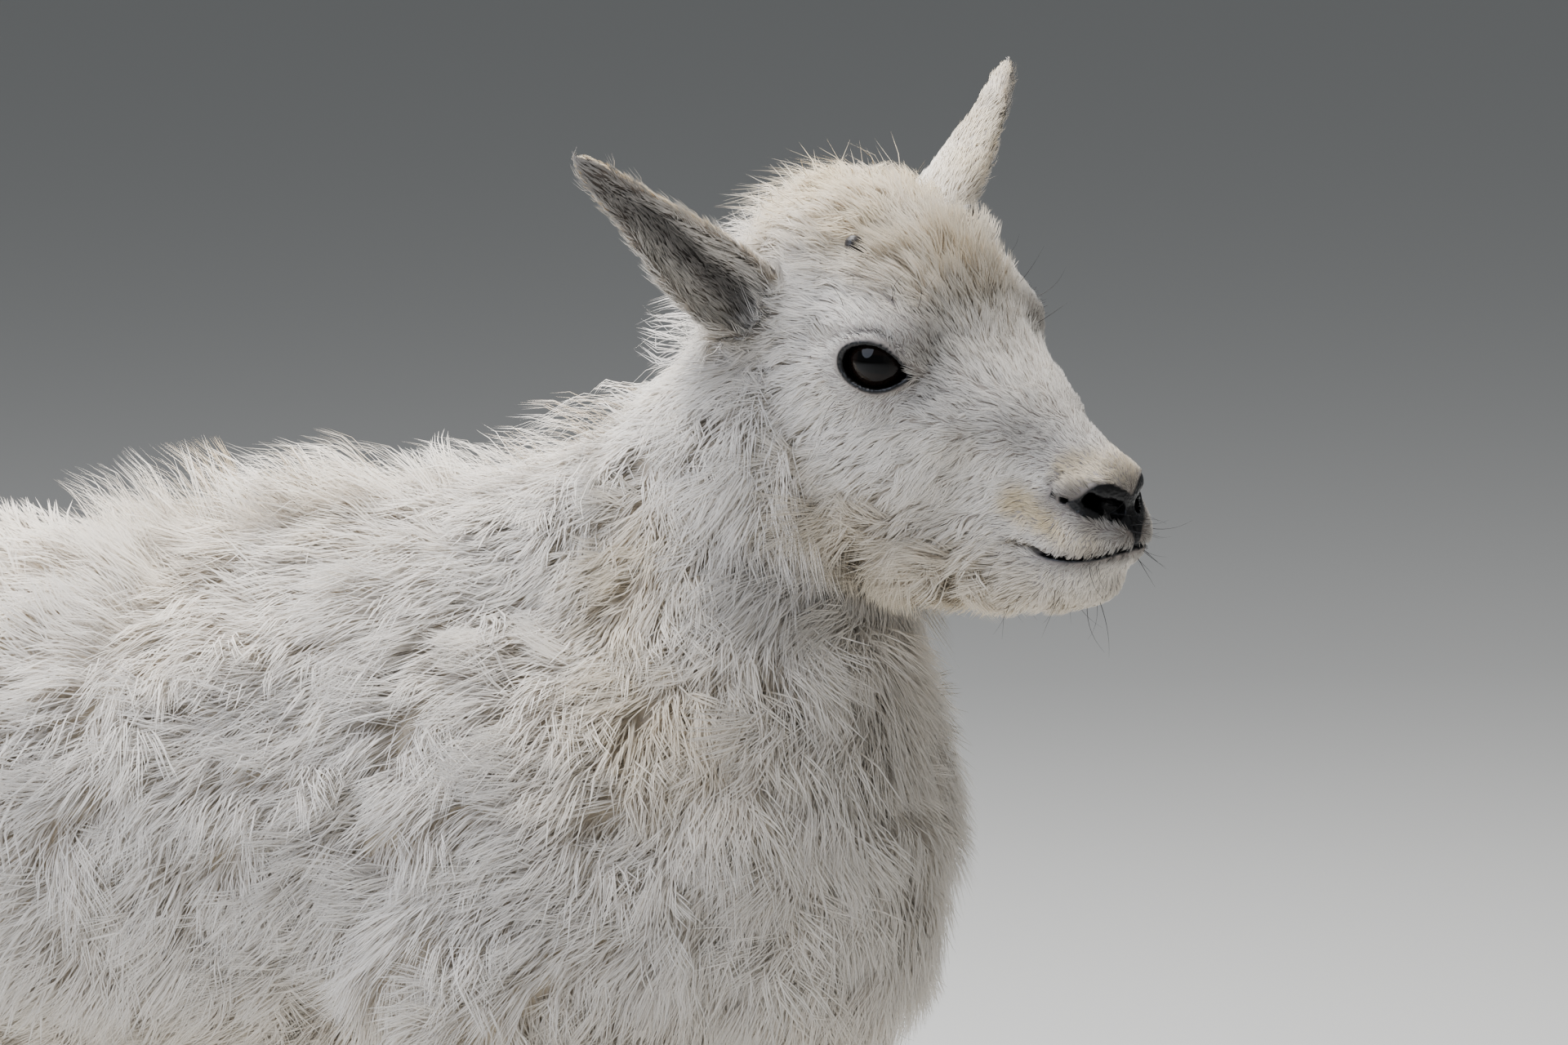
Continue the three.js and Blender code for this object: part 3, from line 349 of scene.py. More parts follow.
class Anatomy:
    """The kid's masses. Every method takes points in mm and gives distances, negative inside."""

    SKIN_DEEP = 2.0  # the skin lies this far under the solids' undercoat

    def trunk(self, p: Axes) -> Array:
        """Barrel, withers, chest, shoulders and haunches.

        Args:
            p: x, y and z of points in the body's frame.

        Returns:
            Signed distances.
        """
        q = (p[0], np.abs(p[1]), p[2])
        return joined(
            [
                (ball(q, (40, 0, WITHERS - 100), (125, 78, 98)), 0),
                (ball(q, (-75, 0, BELLY + 94), (150, HALF_WIDTH, 94)), 30),
                (ball(q, (-185, 0, WITHERS - 86), (RUMP_X / -3 - 5, 68, 68)), 30),
                (ball(q, (50, 0, WITHERS - 34), (70, 34, 36)), 30),
                (ball(q, (CHEST_X - 78, 0, WITHERS - 109), (78, 64, 92)), 30),
                (ball(q, (FORE_X + 8, 50, WITHERS - 129), (50, 32, 82), -12), 30),
                (ball(q, (HIND_X, 42, WITHERS - 136), (62, 36, 80), -14), 30),
            ]
        )

    def neck(self, p: Axes) -> Array:
        """The neck's column and the ridge that runs down to the withers.

        Args:
            p: x, y and z of points in the body's frame.

        Returns:
            Signed distances.
        """
        return joined(
            [
                (limb(p, (150, 0, 350), (198, 0, 508), 70, 39, 0.95), 0),
                (limb(p, (60, 0, WITHERS - 34), (172, 0, 478), 34, 36), 30),
            ]
        )

    def legs(self, p: Axes) -> Array:
        """All four legs down to the tops of the hooves.

        Args:
            p: x, y and z of points in the body's frame.

        Returns:
            Signed distances.
        """
        q = (p[0], np.abs(p[1]), p[2])
        y = LEG_Y
        fore = joined(
            [
                (limb(q, (FORE_X, y + 2, 300), (FORE_X + 2, y + 2, ELBOW + 2), 40, 27), 0),
                (limb(q, (FORE_X + 2, y + 2, ELBOW + 2), (FORE_X + 10, y, KNEE + 4), 26, 18), 14),
                (ball(q, (FORE_X + 11, y, KNEE - 1), (18, 17, 21)), 8),
                (limb(q, (FORE_X + 9, y, KNEE - 6), (FORE_X + 9, y, FETLOCK + 9), 14.5, 13.5), 8),
                (ball(q, (FORE_X + 10, y, FETLOCK), (16, 16, 15)), 8),
                (limb(q, (FORE_X + 11, y, FETLOCK - 2), (FORE_X + 19, y, CORONET - 4), 13, 14), 8),
            ]
        )
        hind = joined(
            [
                (limb(q, (HIND_X - 7, y - 2, 310), (HIND_X + 17, y, STIFLE + 2), 54, 30), 0),
                (limb(q, (HIND_X + 17, y, STIFLE + 2), (HIND_X - 28, y - 2, HOCK + 5), 28, 18), 14),
                (ball(q, (HIND_X - 31, y - 2, HOCK + 2), (18, 15, 22)), 8),
                (limb(q, (HIND_X - 29, y - 2, HOCK - 5), (HIND_X - 18, y - 2, FETLOCK + 9), 15.5, 13.5), 8),
                (ball(q, (HIND_X - 16, y - 2, FETLOCK), (16, 16, 15)), 8),
                (limb(q, (HIND_X - 15, y - 2, FETLOCK - 2), (HIND_X - 6, y - 2, CORONET - 4), 13, 14), 8),
            ]
        )
        return np.minimum(fore, hind)

    def tail(self, p: Axes) -> Array:
        """The short flat tail."""
        return limb(p, TAIL_ROOT, TAIL_TIP, 17, 9, 1.25)

    def skull(self, x: Array, y: Array, z: Array) -> Array:
        """The head without its features.

        Args:
            x: places along the muzzle, in the head's frame.
            y: places to its side, made positive.
            z: places towards the crown.

        Returns:
            Signed distances.
        """
        q = (x, y, z)
        return joined(
            [
                (ball(q, (NAPE_X + 45, 0, -4), (45, 42, 44)), 0),
                (ball(q, (-14, 0, 4), (30, 33, 24)), 16),
                (limb(q, (-20, 0, -26), (NOSE_X - 22, 0, -31), 40, 18.5, 0.8), 18),
                (limb(q, (12, 0, -8), (NOSE_X - 21, 0, -19.5), 17, 8.5), 12),
                (ball(q, (-12, 23, -38), (40, 18, 38)), 16),
                (limb(q, (6, 15, -64), (66, 7, -60), 13, 10), 16),
                (ball(q, (30, 0, -56), (42, 20, 22)), 16),
                (ball(q, (NOSE_X - 21, 0, -36), (19.5, 17.5, 19)), 10),
                (limb(q, (NOSE_X - 8.5, 5, -36), (NOSE_X - 13, 12.5, -36.5), 8, 6.5), 6),
                (ball(q, (NOSE_X - 21, 0, -57), (17, 13, 13)), 8),
                (ball(q, (-9, 30, 3), (19, 12, 12)), 16),
                (limb(q, (2, 22, -2), (38, 12, -15), 13, 10), 16),
            ]
        )

    def slit(self, a: Array, b: Array) -> Array:
        """Distances across the eye's opening, negative inside it.

        Args:
            a: places along the slit.
            b: places up across it.

        Returns:
            Signed distances, about true near the lids.
        """
        front = np.clip(a / SLIT_FRONT, 0.0, 1.3)
        high = SLIT_HIGH * (1.0 - SLIT_NARROWS * front * front)
        middle = b + 1.5 + SLIT_DROPS * front * front
        return (np.sqrt((a / SLIT_HALF) ** 2 + (middle / high) ** 2) - 1.0) * 9.0

    def lips(self, x: Array) -> Array:
        """Height of the line between the lips, in the head's frame."""
        back = np.clip((NOSE_X - x) / 39.5, 0.0, 1.0)
        return -37.0 - 12.5 * (1.0 - (1.0 - back) ** 2.6)

    def ear(self, h: Array) -> Array:
        """The ears, long leaves rolled into cups.

        Args:
            h: points in the head's frame.

        Returns:
            Signed distances to both ears.
        """
        a, b, c = EARS.into(h)
        t = a / EAR_LENGTH
        width = EAR_HALF_WIDTH * np.sqrt(np.maximum(1.0 - ((t - 0.26) / 0.745) ** 2, 0.0))
        width = width * (1.0 - 0.42 * ramp(t, 0.25, 0.9))
        bow = 5.0 * np.sin(np.pi * np.clip(t, 0.0, 1.0)) - 2.0
        outer = np.sqrt(((b - bow) / 0.66) ** 2 + c * c) - width
        inner = np.sqrt(((b - bow - 4.2) / 0.66) ** 2 + c * c) - (width - 1.2) * ramp(t, -0.08, 0.26)
        shell = carve(outer * 0.8, inner * 0.8, 1.2)
        lobe = np.sqrt((a + 2.0) ** 2 + (b + 1.0) ** 2 + c * c) - 11.5
        return soften(np.maximum(np.maximum(shell, -a - 6.0), a - EAR_LENGTH), lobe, 5.0)

    def face(self, h: Array) -> Array:
        """The head with lids, nostrils, lips and chin, in its own frame.

        Args:
            h: points in the head's frame.

        Returns:
            Signed distances to the bare head, ears included.
        """
        q = x, y, z = folded(h)
        d = self.skull(x, y, z)
        # Wings of the nostrils and the lower lip
        d = soften(d, limb(q, (82.5, 8.5, -19.5), (74, 15, -23), 4.2, 3.6), 5.0)
        d = soften(d, limb(q, (81, 3, -50), (66, 11, -54), 6.5, 5.0), 4.0)
        # Cheek bone and the hollow under the eye
        d = soften(d, limb(q, (26, 27, -18), (-22, 38, -14), 5.0, 6.0), 12.0)
        # Hollows before the eye, at the nose pad and under the chin
        d = d + 3.4 * bell((x, 10.0, 15.0), (y, 27.0, 12.0), (z, 0.0, 13.0))
        d = d + 2.6 * bell((z, -25.0, 6.0)) * ramp(x, 82.0, 91.0)
        d = d + 4.5 * bell((x, 89.0, 11.0), (z, -70.0, 9.0))
        # Lids over the eyeball, with a fold over the upper one
        a, b, c = EYE.into(x, y, z)
        round_eye = np.sqrt(a * a + b * b + c * c)
        opening = self.slit(a, b)
        lid = round_eye - (EYE_RADIUS + 1.5 + 0.5 * ramp(b, -2.0, 6.0))
        d = soften(d, lid, 5.0)
        fold = bell((opening, 4.6, 1.1)) * ramp(b, -1.0, 5.0) * (c > 0)
        under = bell((opening, 4.0, 1.2)) * ramp(-b, 1.0, 6.0) * (c > 0)
        d = d + 1.3 * fold + 0.7 * under
        d = carve(d, np.maximum(opening, -c), 0.9)
        duct = limb((a, b, c), (11.0, -1.6, 7.5), (16.5, -3.2, 4.5), 1.5, 0.5)
        d = carve(d, duct, 1.0)
        d = np.maximum(d, EYE_RADIUS + 0.12 - round_eye)
        # Nostrils, philtrum and the line of the mouth
        nostril = soften(
            limb(q, (88, 5.4, -25.5), (82, 11.5, -22.5), 4.2, 3.6),
            limb(q, (82, 11.5, -22.5), (74.5, 17, -25), 2.8, 1.2),
            1.5,
        )
        nostril = soften(nostril, limb(q, (85, 8, -24), (74, 7, -27), 3.0, 2.6), 1.5)
        d = carve(d, nostril, 1.6)
        groove = np.maximum(np.abs(z - self.lips(x)) - 0.5, 57.5 - x)
        d = carve(d, np.maximum(groove, -d - 3.2), 1.5)
        split = np.maximum(np.maximum(y - 0.4, np.abs(z + 29.5) - 6.0), 80.0 - x)
        d = carve(d, np.maximum(split, -d - 1.4), 1.4)
        return soften(d, self.ear(h), 5.0)

    def inset(self, h: Array) -> Array:
        """How far the skin lies under the outer surface: nothing round the eyes, nose and mouth.

        Args:
            h: points in the head's frame.

        Returns:
            Depths in mm.
        """
        x, y, z = folded(h)
        muzzle = ramp(x, 62.0, 80.0)
        eye = 1.0 - ramp(np.sqrt(sum((value - at) ** 2 for value, at in zip((x, y, z), EYE_AT))), 15.0, 24.0)
        ear = ramp(EARS.into(h)[0], 4.0, 22.0)
        bare = np.maximum(np.maximum(muzzle, eye), ear)
        face = ramp(x, -90.0, 0.0)
        return mix(mix(self.SKIN_DEEP, 0.9, face), 0.0, bare)

    def skin(self, points: Array) -> Array:
        """Distances to the kid's bare skin.

        Args:
            points: N by 3, in the body's frame.

        Returns:
            N signed distances.
        """
        p = columns(points)
        h = HEAD.into(points)
        d = soften(self.trunk(p), self.neck(p), 40.0) + self.SKIN_DEEP
        legs_deep = self.SKIN_DEEP * ramp(p[2], 100.0, 200.0) - 1.2 * (1.0 - ramp(p[2], 60.0, 120.0))
        d = soften(d, self.legs(p) + legs_deep, 18.0)
        d = soften(d, self.tail(p), 8.0)
        d = soften(d, self.face(h) + self.inset(h), 22.0 * (1.0 - ramp(h[:, 0], 0.0, 40.0)).max() + 1e-3)
        return np.maximum(d, CORONET - 1.5 - p[2])

    def slope(self, points: Array, step: float = 0.8) -> Array:
        """Unit normals of the skin's distance field.

        Args:
            points: N by 3, in the body's frame.
            step: how far to either side the field is read, in mm.

        Returns:
            N unit vectors.
        """
        out = np.empty_like(points)
        for axis in range(3):
            shift = np.zeros(3, points.dtype)
            shift[axis] = step
            out[:, axis] = self.skin(points + shift) - self.skin(points - shift)
        return unit(out)


BODY = Anatomy()


# The skin as one mesh


@dataclass(frozen=True)
class FineGrid:
    """A grid of cells that are small round the face and grow away from it, in mm."""

    centre: Tuple[float, float, float] = (34.0, 0.0, -16.0)
    fine: float = 1.2
    near: float = 60.0
    growth: float = 0.03
    coarse: float = 7.5
    block: int = 8

    def stages(self) -> Tuple[float, float, float]:
        """Number of fine cells, number of growing ones, and the distance in mm at which these end."""
        reach = math.log(self.coarse / self.fine) / self.growth
        return self.near / self.fine, reach, self.near + (self.coarse - self.fine) / self.growth

    def spread(self, steps: Array) -> Array:
        """How far from the centre a number of cells reaches.

        Args:
            steps: numbers of cells.

        Returns:
            Distances in mm.
        """
        first, reach, far = self.stages()
        inner = steps * self.fine
        grown = np.exp(self.growth * np.minimum(steps - first, reach)) - 1.0
        middle = self.near + self.fine / self.growth * grown
        outer = far + (steps - first - reach) * self.coarse
        return np.where(steps < first, inner, np.where(steps < first + reach, middle, outer))

    def steps(self, distance: float) -> float:
        """The number of cells that reaches a distance from the centre.

        Args:
            distance: distance in mm.

        Returns:
            Number of cells.
        """
        first, reach, far = self.stages()
        if distance < self.near:
            return distance / self.fine
        if distance < far:
            return first + math.log(1.0 + (distance - self.near) * self.growth / self.fine) / self.growth
        return first + reach + (distance - far) / self.coarse

    def place(self, index: Array) -> Array:
        """Where the grid's points lie.

        Args:
            index: grid indices, counted from the centre.

        Returns:
            Places in mm, in the body's frame.
        """
        steps = np.linalg.norm(index, axis=-1, keepdims=True)
        middle = HEAD.out(np.array(self.centre))
        return (middle + index * (self.spread(steps) / np.maximum(steps, 1e-6))).astype(np.float32)


class SkinNet:
    """Draws one closed surface through a distance field on the grid."""

    FAR = 50.0  # stands for every distance far from the surface, in mm
    MARGIN = 4.0  # how far from the surface a block still counts as near it, in mm
    BATCH = 120  # number of blocks whose distances are worked out at once

    def __init__(self, distances: Callable[[Array], Array], grid: FineGrid, low: Array, high: Array) -> None:
        """Works out how many cells the grid needs.

        Args:
            distances: the field, which takes N by 3 points in mm.
            grid: the grid that it is drawn on.
            low: lowest corner to reach, in mm.
            high: highest corner.
        """
        self.distances = distances
        self.grid = grid
        middle = HEAD.out(grid.centre)
        edge = np.linspace(0.0, 1.0, 9)
        spots = low + np.array(np.meshgrid(edge, edge, edge)).reshape(3, -1).T * (high - low) - middle
        length = np.maximum(np.linalg.norm(spots, axis=1), 1e-6)
        cells = spots * (np.array([grid.steps(float(r)) for r in length]) / length)[:, None]
        self.low = np.floor(np.minimum(cells.min(0) - 2, 0)).astype(int)
        count = np.ceil(cells.max(0) + 2).astype(int) - self.low + 1
        self.shape = tuple((-(-count // grid.block) * grid.block).tolist())

    def values(self) -> Array:
        """Reads the field, block by block.

        Returns:
            Distances at all grid points. Far from the surface only their sign is true.
        """
        block = self.grid.block
        counts = [n // block for n in self.shape]
        starts = [np.arange(n) * block for n in counts]
        corner = np.stack(np.meshgrid(*starts, indexing="ij"), -1).reshape(-1, 3)
        middle = self.grid.place(corner + self.low + (block - 1) / 2)
        ends = [self.grid.place(corner + self.low + end) - middle for end in (-1.0, float(block))]
        reach = np.maximum(*(np.linalg.norm(end, axis=1) for end in ends))
        at_middle = self.distances(middle)
        wanted = np.abs(at_middle) < reach * 1.3 + self.MARGIN
        whole = np.sign(at_middle).reshape(counts).astype(np.float32) * self.FAR
        for axis in range(3):
            whole = np.repeat(whole, block, axis)
        local = np.stack(np.meshgrid(*[np.arange(block)] * 3, indexing="ij"), -1).reshape(-1, 3)
        for some in np.array_split(corner[wanted], max(1, int(wanted.sum()) // self.BATCH)):
            index = (some[:, None, :] + local[None]).reshape(-1, 3)
            whole[tuple(index.T)] = self.distances(self.grid.place(index + self.low))
        return whole

    def vertices(self, values: Array, cell: Array) -> Array:
        """One vertex in each cell that the surface crosses, at the mean of its edges' crossings.

        Args:
            values: distances at all grid points.
            cell: indices of those cells.

        Returns:
            Places in mm.
        """
        total = np.zeros((len(cell), 3))
        crossings = np.zeros(len(cell))
        for start in np.ndindex(2, 2, 2):
            for axis in (a for a in range(3) if not start[a]):
                end = list(start)
                end[axis] = 1
                near, far = cell + start, cell + end
                at_near, at_far = values[tuple(near.T)], values[tuple(far.T)]
                cut = (at_near < 0) != (at_far < 0)
                t = (at_near[cut] / (at_near[cut] - at_far[cut]))[:, None]
                total[cut] += near[cut] + t * (far[cut] - near[cut])
                crossings[cut] += 1
        return self.grid.place(total / crossings[:, None] + self.low)

    def draw(self) -> Tuple[Array, Array]:
        """Draws the surface.

        Returns:
            Vertices in mm, and quads that face out.
        """
        values = self.values()
        inside = values < 0
        size = values.shape
        count = np.zeros([n - 1 for n in size], np.int8)
        for corner in np.ndindex(2, 2, 2):
            count += inside[tuple(slice(a, n - 1 + a) for a, n in zip(corner, size))]
        cells = np.nonzero((count > 0) & (count < 8))
        number = np.full(count.shape, -1, np.int64)
        number[cells] = np.arange(len(cells[0]))
        quads: List[Array] = []
        for axis in range(3):
            one, two = [a for a in range(3) if a != axis]
            lower = [slice(None)] * 3
            upper = [slice(None)] * 3
            lower[axis], upper[axis] = slice(0, -1), slice(1, None)
            first, second = inside[tuple(lower)], inside[tuple(upper)]
            edge = np.stack(np.nonzero(first != second), -1)
            for way in (one, two):
                edge = edge[(edge[:, way] > 0) & (edge[:, way] < size[way] - 1)]
            ring = []
            for back in ((0, 0), (1, 0), (1, 1), (0, 1)):
                spot = edge.copy()
                spot[:, [one, two]] -= back
                ring.append(number[tuple(spot.T)])
            quad = np.stack(ring, -1)
            turned = first[tuple(edge.T)] == (axis == 1)
            quad[turned] = quad[turned][:, ::-1]
            quads.append(quad)
        return self.vertices(values, np.stack(cells, -1)), np.concatenate(quads)


def placed(name: str, data: bpy.types.ID) -> bpy.types.Object:
    """A new object with this data, linked to the scene."""
    made = bpy.data.objects.new(name, data)
    bpy.context.collection.objects.link(made)
    return made


def as_mesh(name: str, points: Array, faces: Array) -> bpy.types.Object:
    """A smooth object made of faces that all have the same number of corners.

    Args:
        name: name of the object.
        points: vertices in mm, in the body's frame.
        faces: vertex numbers, one row for each face.

    Returns:
        The object, linked to the scene, in metres.
    """
    mesh = bpy.data.meshes.new(name)
    corners = faces.shape[1]
    mesh.vertices.add(len(points))
    mesh.loops.add(faces.size)
    mesh.polygons.add(len(faces))
    mesh.vertices.foreach_set("co", ((points - MIDDLE) * MM).astype(np.float32).ravel())
    mesh.loops.foreach_set("vertex_index", faces.astype(np.int32).ravel())
    mesh.polygons.foreach_set("loop_start", np.arange(0, faces.size, corners, dtype=np.int32))
    mesh.polygons.foreach_set("use_smooth", np.full(len(faces), True))
    mesh.update(calc_edges=True)
    return placed(name, mesh)


def give_values(made: bpy.types.Object, values: Dict[str, Array]) -> None:
    """Stores one number for each vertex under each name."""
    for name, numbers in values.items():
        made.data.attributes.new(name, "FLOAT", "POINT").data.foreach_set("value", numbers.astype(np.float32))


# How the coat lies on each place


@dataclass
class Survey:
    """What the coat is like at each of N places.

    Attributes:
        points: the places, in mm.
        normals: the skin's unit normals there.
        head: share of the head, and in the same way ear, cup (the ear's inside), neck, leg and tail.
        length: length of the hair, in mm.
        lift: height of the coat over the skin, in mm.
        cover: how densely hair grows.
        warm: share of beige, and in the same way grey and dark.
    """

    points: Array
    normals: Array
    head: Array
    ear: Array
    cup: Array
    neck: Array
    leg: Array
    tail: Array
    length: Array
    lift: Array
    cover: Array
    warm: Array
    grey: Array
    dark: Array


class CoatMap:
    """Length, height, lie and markings of the coat as functions of the place on the body."""

    def regions(self, points: Array, normals: Array) -> Dict[str, Array]:
        """Finds which region each place belongs to.

        Args:
            points: N by 3, in mm.
            normals: the skin's unit normals there.

        Returns:
            The shares of head, ear, cup, neck, leg and tail, and the places in the head's and ears' frames.
        """
        p = columns(points)
        h = HEAD.into(points)
        trunk, neck, legs, tail = BODY.trunk(p), BODY.neck(p), BODY.legs(p), BODY.tail(p)
        skull, ear = BODY.skull(*folded(h)), BODY.ear(h)
        along, _, across = EARS.into(h)
        body = np.minimum(trunk, neck)
        is_ear = ramp(skull - ear, 0.0, 3.0) * ramp(along, 2.0, 10.0)
        facing = np.sum((normals @ HEAD.axes.T) * EARS.way(h, 1), axis=1)
        cup = is_ear * ramp(facing, 0.05, 0.5)
        head = np.maximum(ramp(body - skull, -14.0, 10.0), is_ear)
        return {
            "h": h,
            "head": head,
            "ear": is_ear,
            "cup": cup,
            "neck": ramp(trunk - neck, -14.0, 10.0) * (1.0 - head),
            "leg": ramp(trunk - legs, -2.0, 14.0) * (1.0 - ramp(p[2], 205.0, 262.0)),
            "tail": ramp(trunk - tail, 0.0, 8.0),
            "ear_along": along,
            "ear_across": across,
        }

    def dark(self, h: Array) -> Array:
        """Black bare skin: nose, nostrils, lips' edge, lids and tear duct.

        Args:
            h: points in the head's frame.

        Returns:
            Shares from 0 to 1.
        """
        x, y, z = folded(h)
        front = (0.0 * x, y, z)
        pad = joined(
            [
                (limb(front, (0, 0, -24.5), (0, 9, -22.2), 5.0, 6.2), 0),
                (limb(front, (0, 9, -22.2), (0, 14.5, -25.2), 6.2, 3.4), 3),
                (limb(front, (0, 0, -24), (0, 0, -34), 5.0, 1.7), 4),
            ]
        )
        pad = carve(pad, limb(front, (0, 0, -13), (0, 0, -18), 4.2, 1.2), 2.0)
        pad = np.maximum(pad, 68.0 - x)
        lip = np.abs(z - BODY.lips(x)) - 1.6 * ramp(x, 54.0, 74.0)
        lip = np.maximum(lip, 56.0 - x)
        a, b, c = EYE.into(x, y, z)
        lid = np.maximum(BODY.slit(a, b) - 1.8, -c)
        duct = limb((a, b, c), (11.5, -1.8, 8.0), (16.5, -3.4, 5.0), 2.2, 0.9)
        return 1.0 - ramp(np.minimum(np.minimum(pad, lip), np.minimum(lid, duct)), -0.7, 0.8)

    def grey(self, h: Array, where: Dict[str, Array]) -> Array:
        """Grey: skin that shows through short hair, the inside of the ears, and painted shade in the crown's
        crease and under the jaw.

        Args:
            h: points in the head's frame.
            where: their regions.

        Returns:
            Shares from 0 to 1.
        """
        q = x, y, z = folded(h)
        eye = np.sqrt((x - 3.0) ** 2 + (y - EYE_AT[1]) ** 2 + (z - EYE_AT[2]) ** 2)
        round_eye = 1.0 - ramp(eye, 14.0, 27.0)
        front = bell((x, 24.0, 15.0), (z, -4.0, 10.0))
        bridge = 0.45 * ramp(x, 26.0, 56.0) * (1.0 - ramp(x, 70.0, 84.0)) * ramp(z, -26.0, -10.0)
        pad = limb((0.0 * x, y, z), (0, 0, -25.0), (0, 17, -25), 7.5, 5.0)
        nose = 0.9 * (1.0 - ramp(pad, -2.0, 6.0)) * ramp(x, 62.0, 70.0)
        lip = 0.75 * (1.0 - ramp(np.abs(z - BODY.lips(x)), 2.0, 8.0)) * ramp(x, 56.0, 80.0)
        chin = 0.4 * (1.0 - ramp(limb(q, (92, 0, -38), (80, 10, -36), 5.0, 3.0), 0.0, 6.0))
        # Painted shade under the jaw, on the upper throat
        throat_shade = 0.5 * bell((x, -14.0, 26.0), (z, -84.0, 16.0))
        below_ear = 0.55 * bell((x, -58.0, 16.0), (z, -22.0, 22.0)) * ramp(y, 14.0, 30.0)
        # Painted shade: grey laid into the crease between crown and forelock
        crease = 0.45 * bell((x, -25.0, 4.0)) * ramp(z, 14.0, 26.0)
        spots = [crease, 0.5 * round_eye, 0.2 * front, bridge, nose, lip, chin, throat_shade, below_ear]
        rim = ramp(np.abs(where["ear_across"]) / EAR_HALF_WIDTH, 0.2, 0.75)
        return np.maximum(np.maximum.reduce(spots) * (1.0 - where["ear"]), where["cup"] * mix(1.0, 0.3, rim))

    def warm(self, points: Array, normals: Array, where: Dict[str, Array]) -> Array:
        """The beige and yellow that tinges crown, jaw, muzzle, shoulders and legs.

        Args:
            points: N by 3, in mm.
            normals: the skin's unit normals there.
            where: their regions.

        Returns:
            Shares from 0 to 1.
        """
        q = x, _, z = folded(where["h"])
        crown = 0.7 * ramp(z, 10.0, 34.0) * (1.0 - ramp(x, 12.0, 34.0))
        jaw = 0.55 * ramp(-z, 30.0, 74.0) * (1.0 - ramp(x, 70.0, 96.0) * 0.4)
        muzzle = 0.95 * (1.0 - ramp(limb(q, (84, 12, -36), (58, 18, -34), 3.0, 3.0), -1.0, 9.0))
        over_nose = 0.8 * (1.0 - ramp(limb(q, (83, 0, -14), (75, 13, -16), 4.0, 5.0), 0.0, 8.0))
        face = np.maximum.reduce([crown, jaw, muzzle, over_nose])
        px, py, pz = columns(points)
        stain = 0.95 * bell((px, 149.0, 22.0), (pz, 456.0, 28.0))
        below = 0.5 * bell((px, 166.0, 40.0), (pz, 402.0, 34.0))
        flank = 0.3 * (1.0 - ramp(pz, 250.0, 330.0))
        ridge = 0.25 * ramp(normals[:, 2], 0.4, 0.9)
        body = np.maximum(flank, ridge) * (1.0 - 0.6 * where["neck"])
        body = np.maximum(body, np.maximum(stain, below) * ramp(np.abs(py), 25.0, 55.0))
        return mix(body, face, where["head"]) * (1.0 - where["cup"])

    def lie(self, points: Array, normals: Array) -> Array:
        """Finds the way in which the hair points.

        Args:
            points: N by 3, in mm.
            normals: the skin's unit normals there.

        Returns:
            Unit directions along the skin.
        """
        where = self.regions(points, normals)
        px, up = points[:, 0], normals[:, 2]
        back = ramp(-px, 190.0, 250.0)
        body = steer(np.array([-0.6, 0.0, -0.75]), [
            ((-0.12, 0.0, -1.0), np.maximum(ramp(px, 130.0, 215.0), back)),
            ((-1.0, 0.0, -0.1), ramp(up, 0.45, 0.9)),
            ((-1.0, 0.0, 0.0), ramp(-up, 0.5, 0.9) * (1.0 - back)),
            ((-0.25, 0.0, -1.0), where["neck"] * ramp(-up, -0.9, -0.2)),
            ((-0.15, 0.0, -1.0), where["leg"]),
            (unit(TAIL_TIP - TAIL_ROOT), where["tail"]),
        ])
        hx, hy, hz = columns(where["h"])
        side = np.where(hy < 0.0, -1.0, 1.0)
        away = stacked(hx - EYE_AT[0], 0.0, hz - EYE_AT[2])
        near_eye = (1.0 - ramp(np.linalg.norm(away, axis=1), 12.0, 30.0)) * ramp(np.abs(hy), 20.0, 32.0)
        # In this order: cheeks, brow, crown, nape, jaw, lips, round the eyes and ears
        face = steer(stacked(-1.0, 0.12 * side, -0.12), [
            ((-0.66, 0.0, -0.76), ramp(-hz, -2.0, 34.0) * (1.0 - ramp(hx, 40.0, 74.0))),
            (stacked(-0.95, hy / 90.0, 0.3), ramp(hz, -4.0, 16.0) * ramp(hx, -30.0, 4.0)),
            (stacked(-1.0, hy / 45.0, 0.15), ramp(hz, 6.0, 26.0) * ramp(-hx, -6.0, 12.0)),
            ((-0.45, 0.0, -0.9), ramp(-hx, 46.0, 76.0) * ramp(np.abs(hy), 10.0, 30.0)),
            ((-0.8, 0.0, -0.55), ramp(-hz, 58.0, 76.0)),
            (stacked(-0.25, 0.25 * side, -1.0), ramp(hx, 62.0, 82.0) * ramp(-hz, 27.0, 35.0)),
            (unit(away) + np.array([-0.5, 0.0, 0.0]), 0.55 * near_eye),
            (EARS.way(where["h"], 0), where["ear"]),
        ])
        way = mix(unit(body), HEAD.aim(unit(face)), where["head"][:, None])
        return unit(way - normals * np.sum(way * normals, axis=1, keepdims=True))

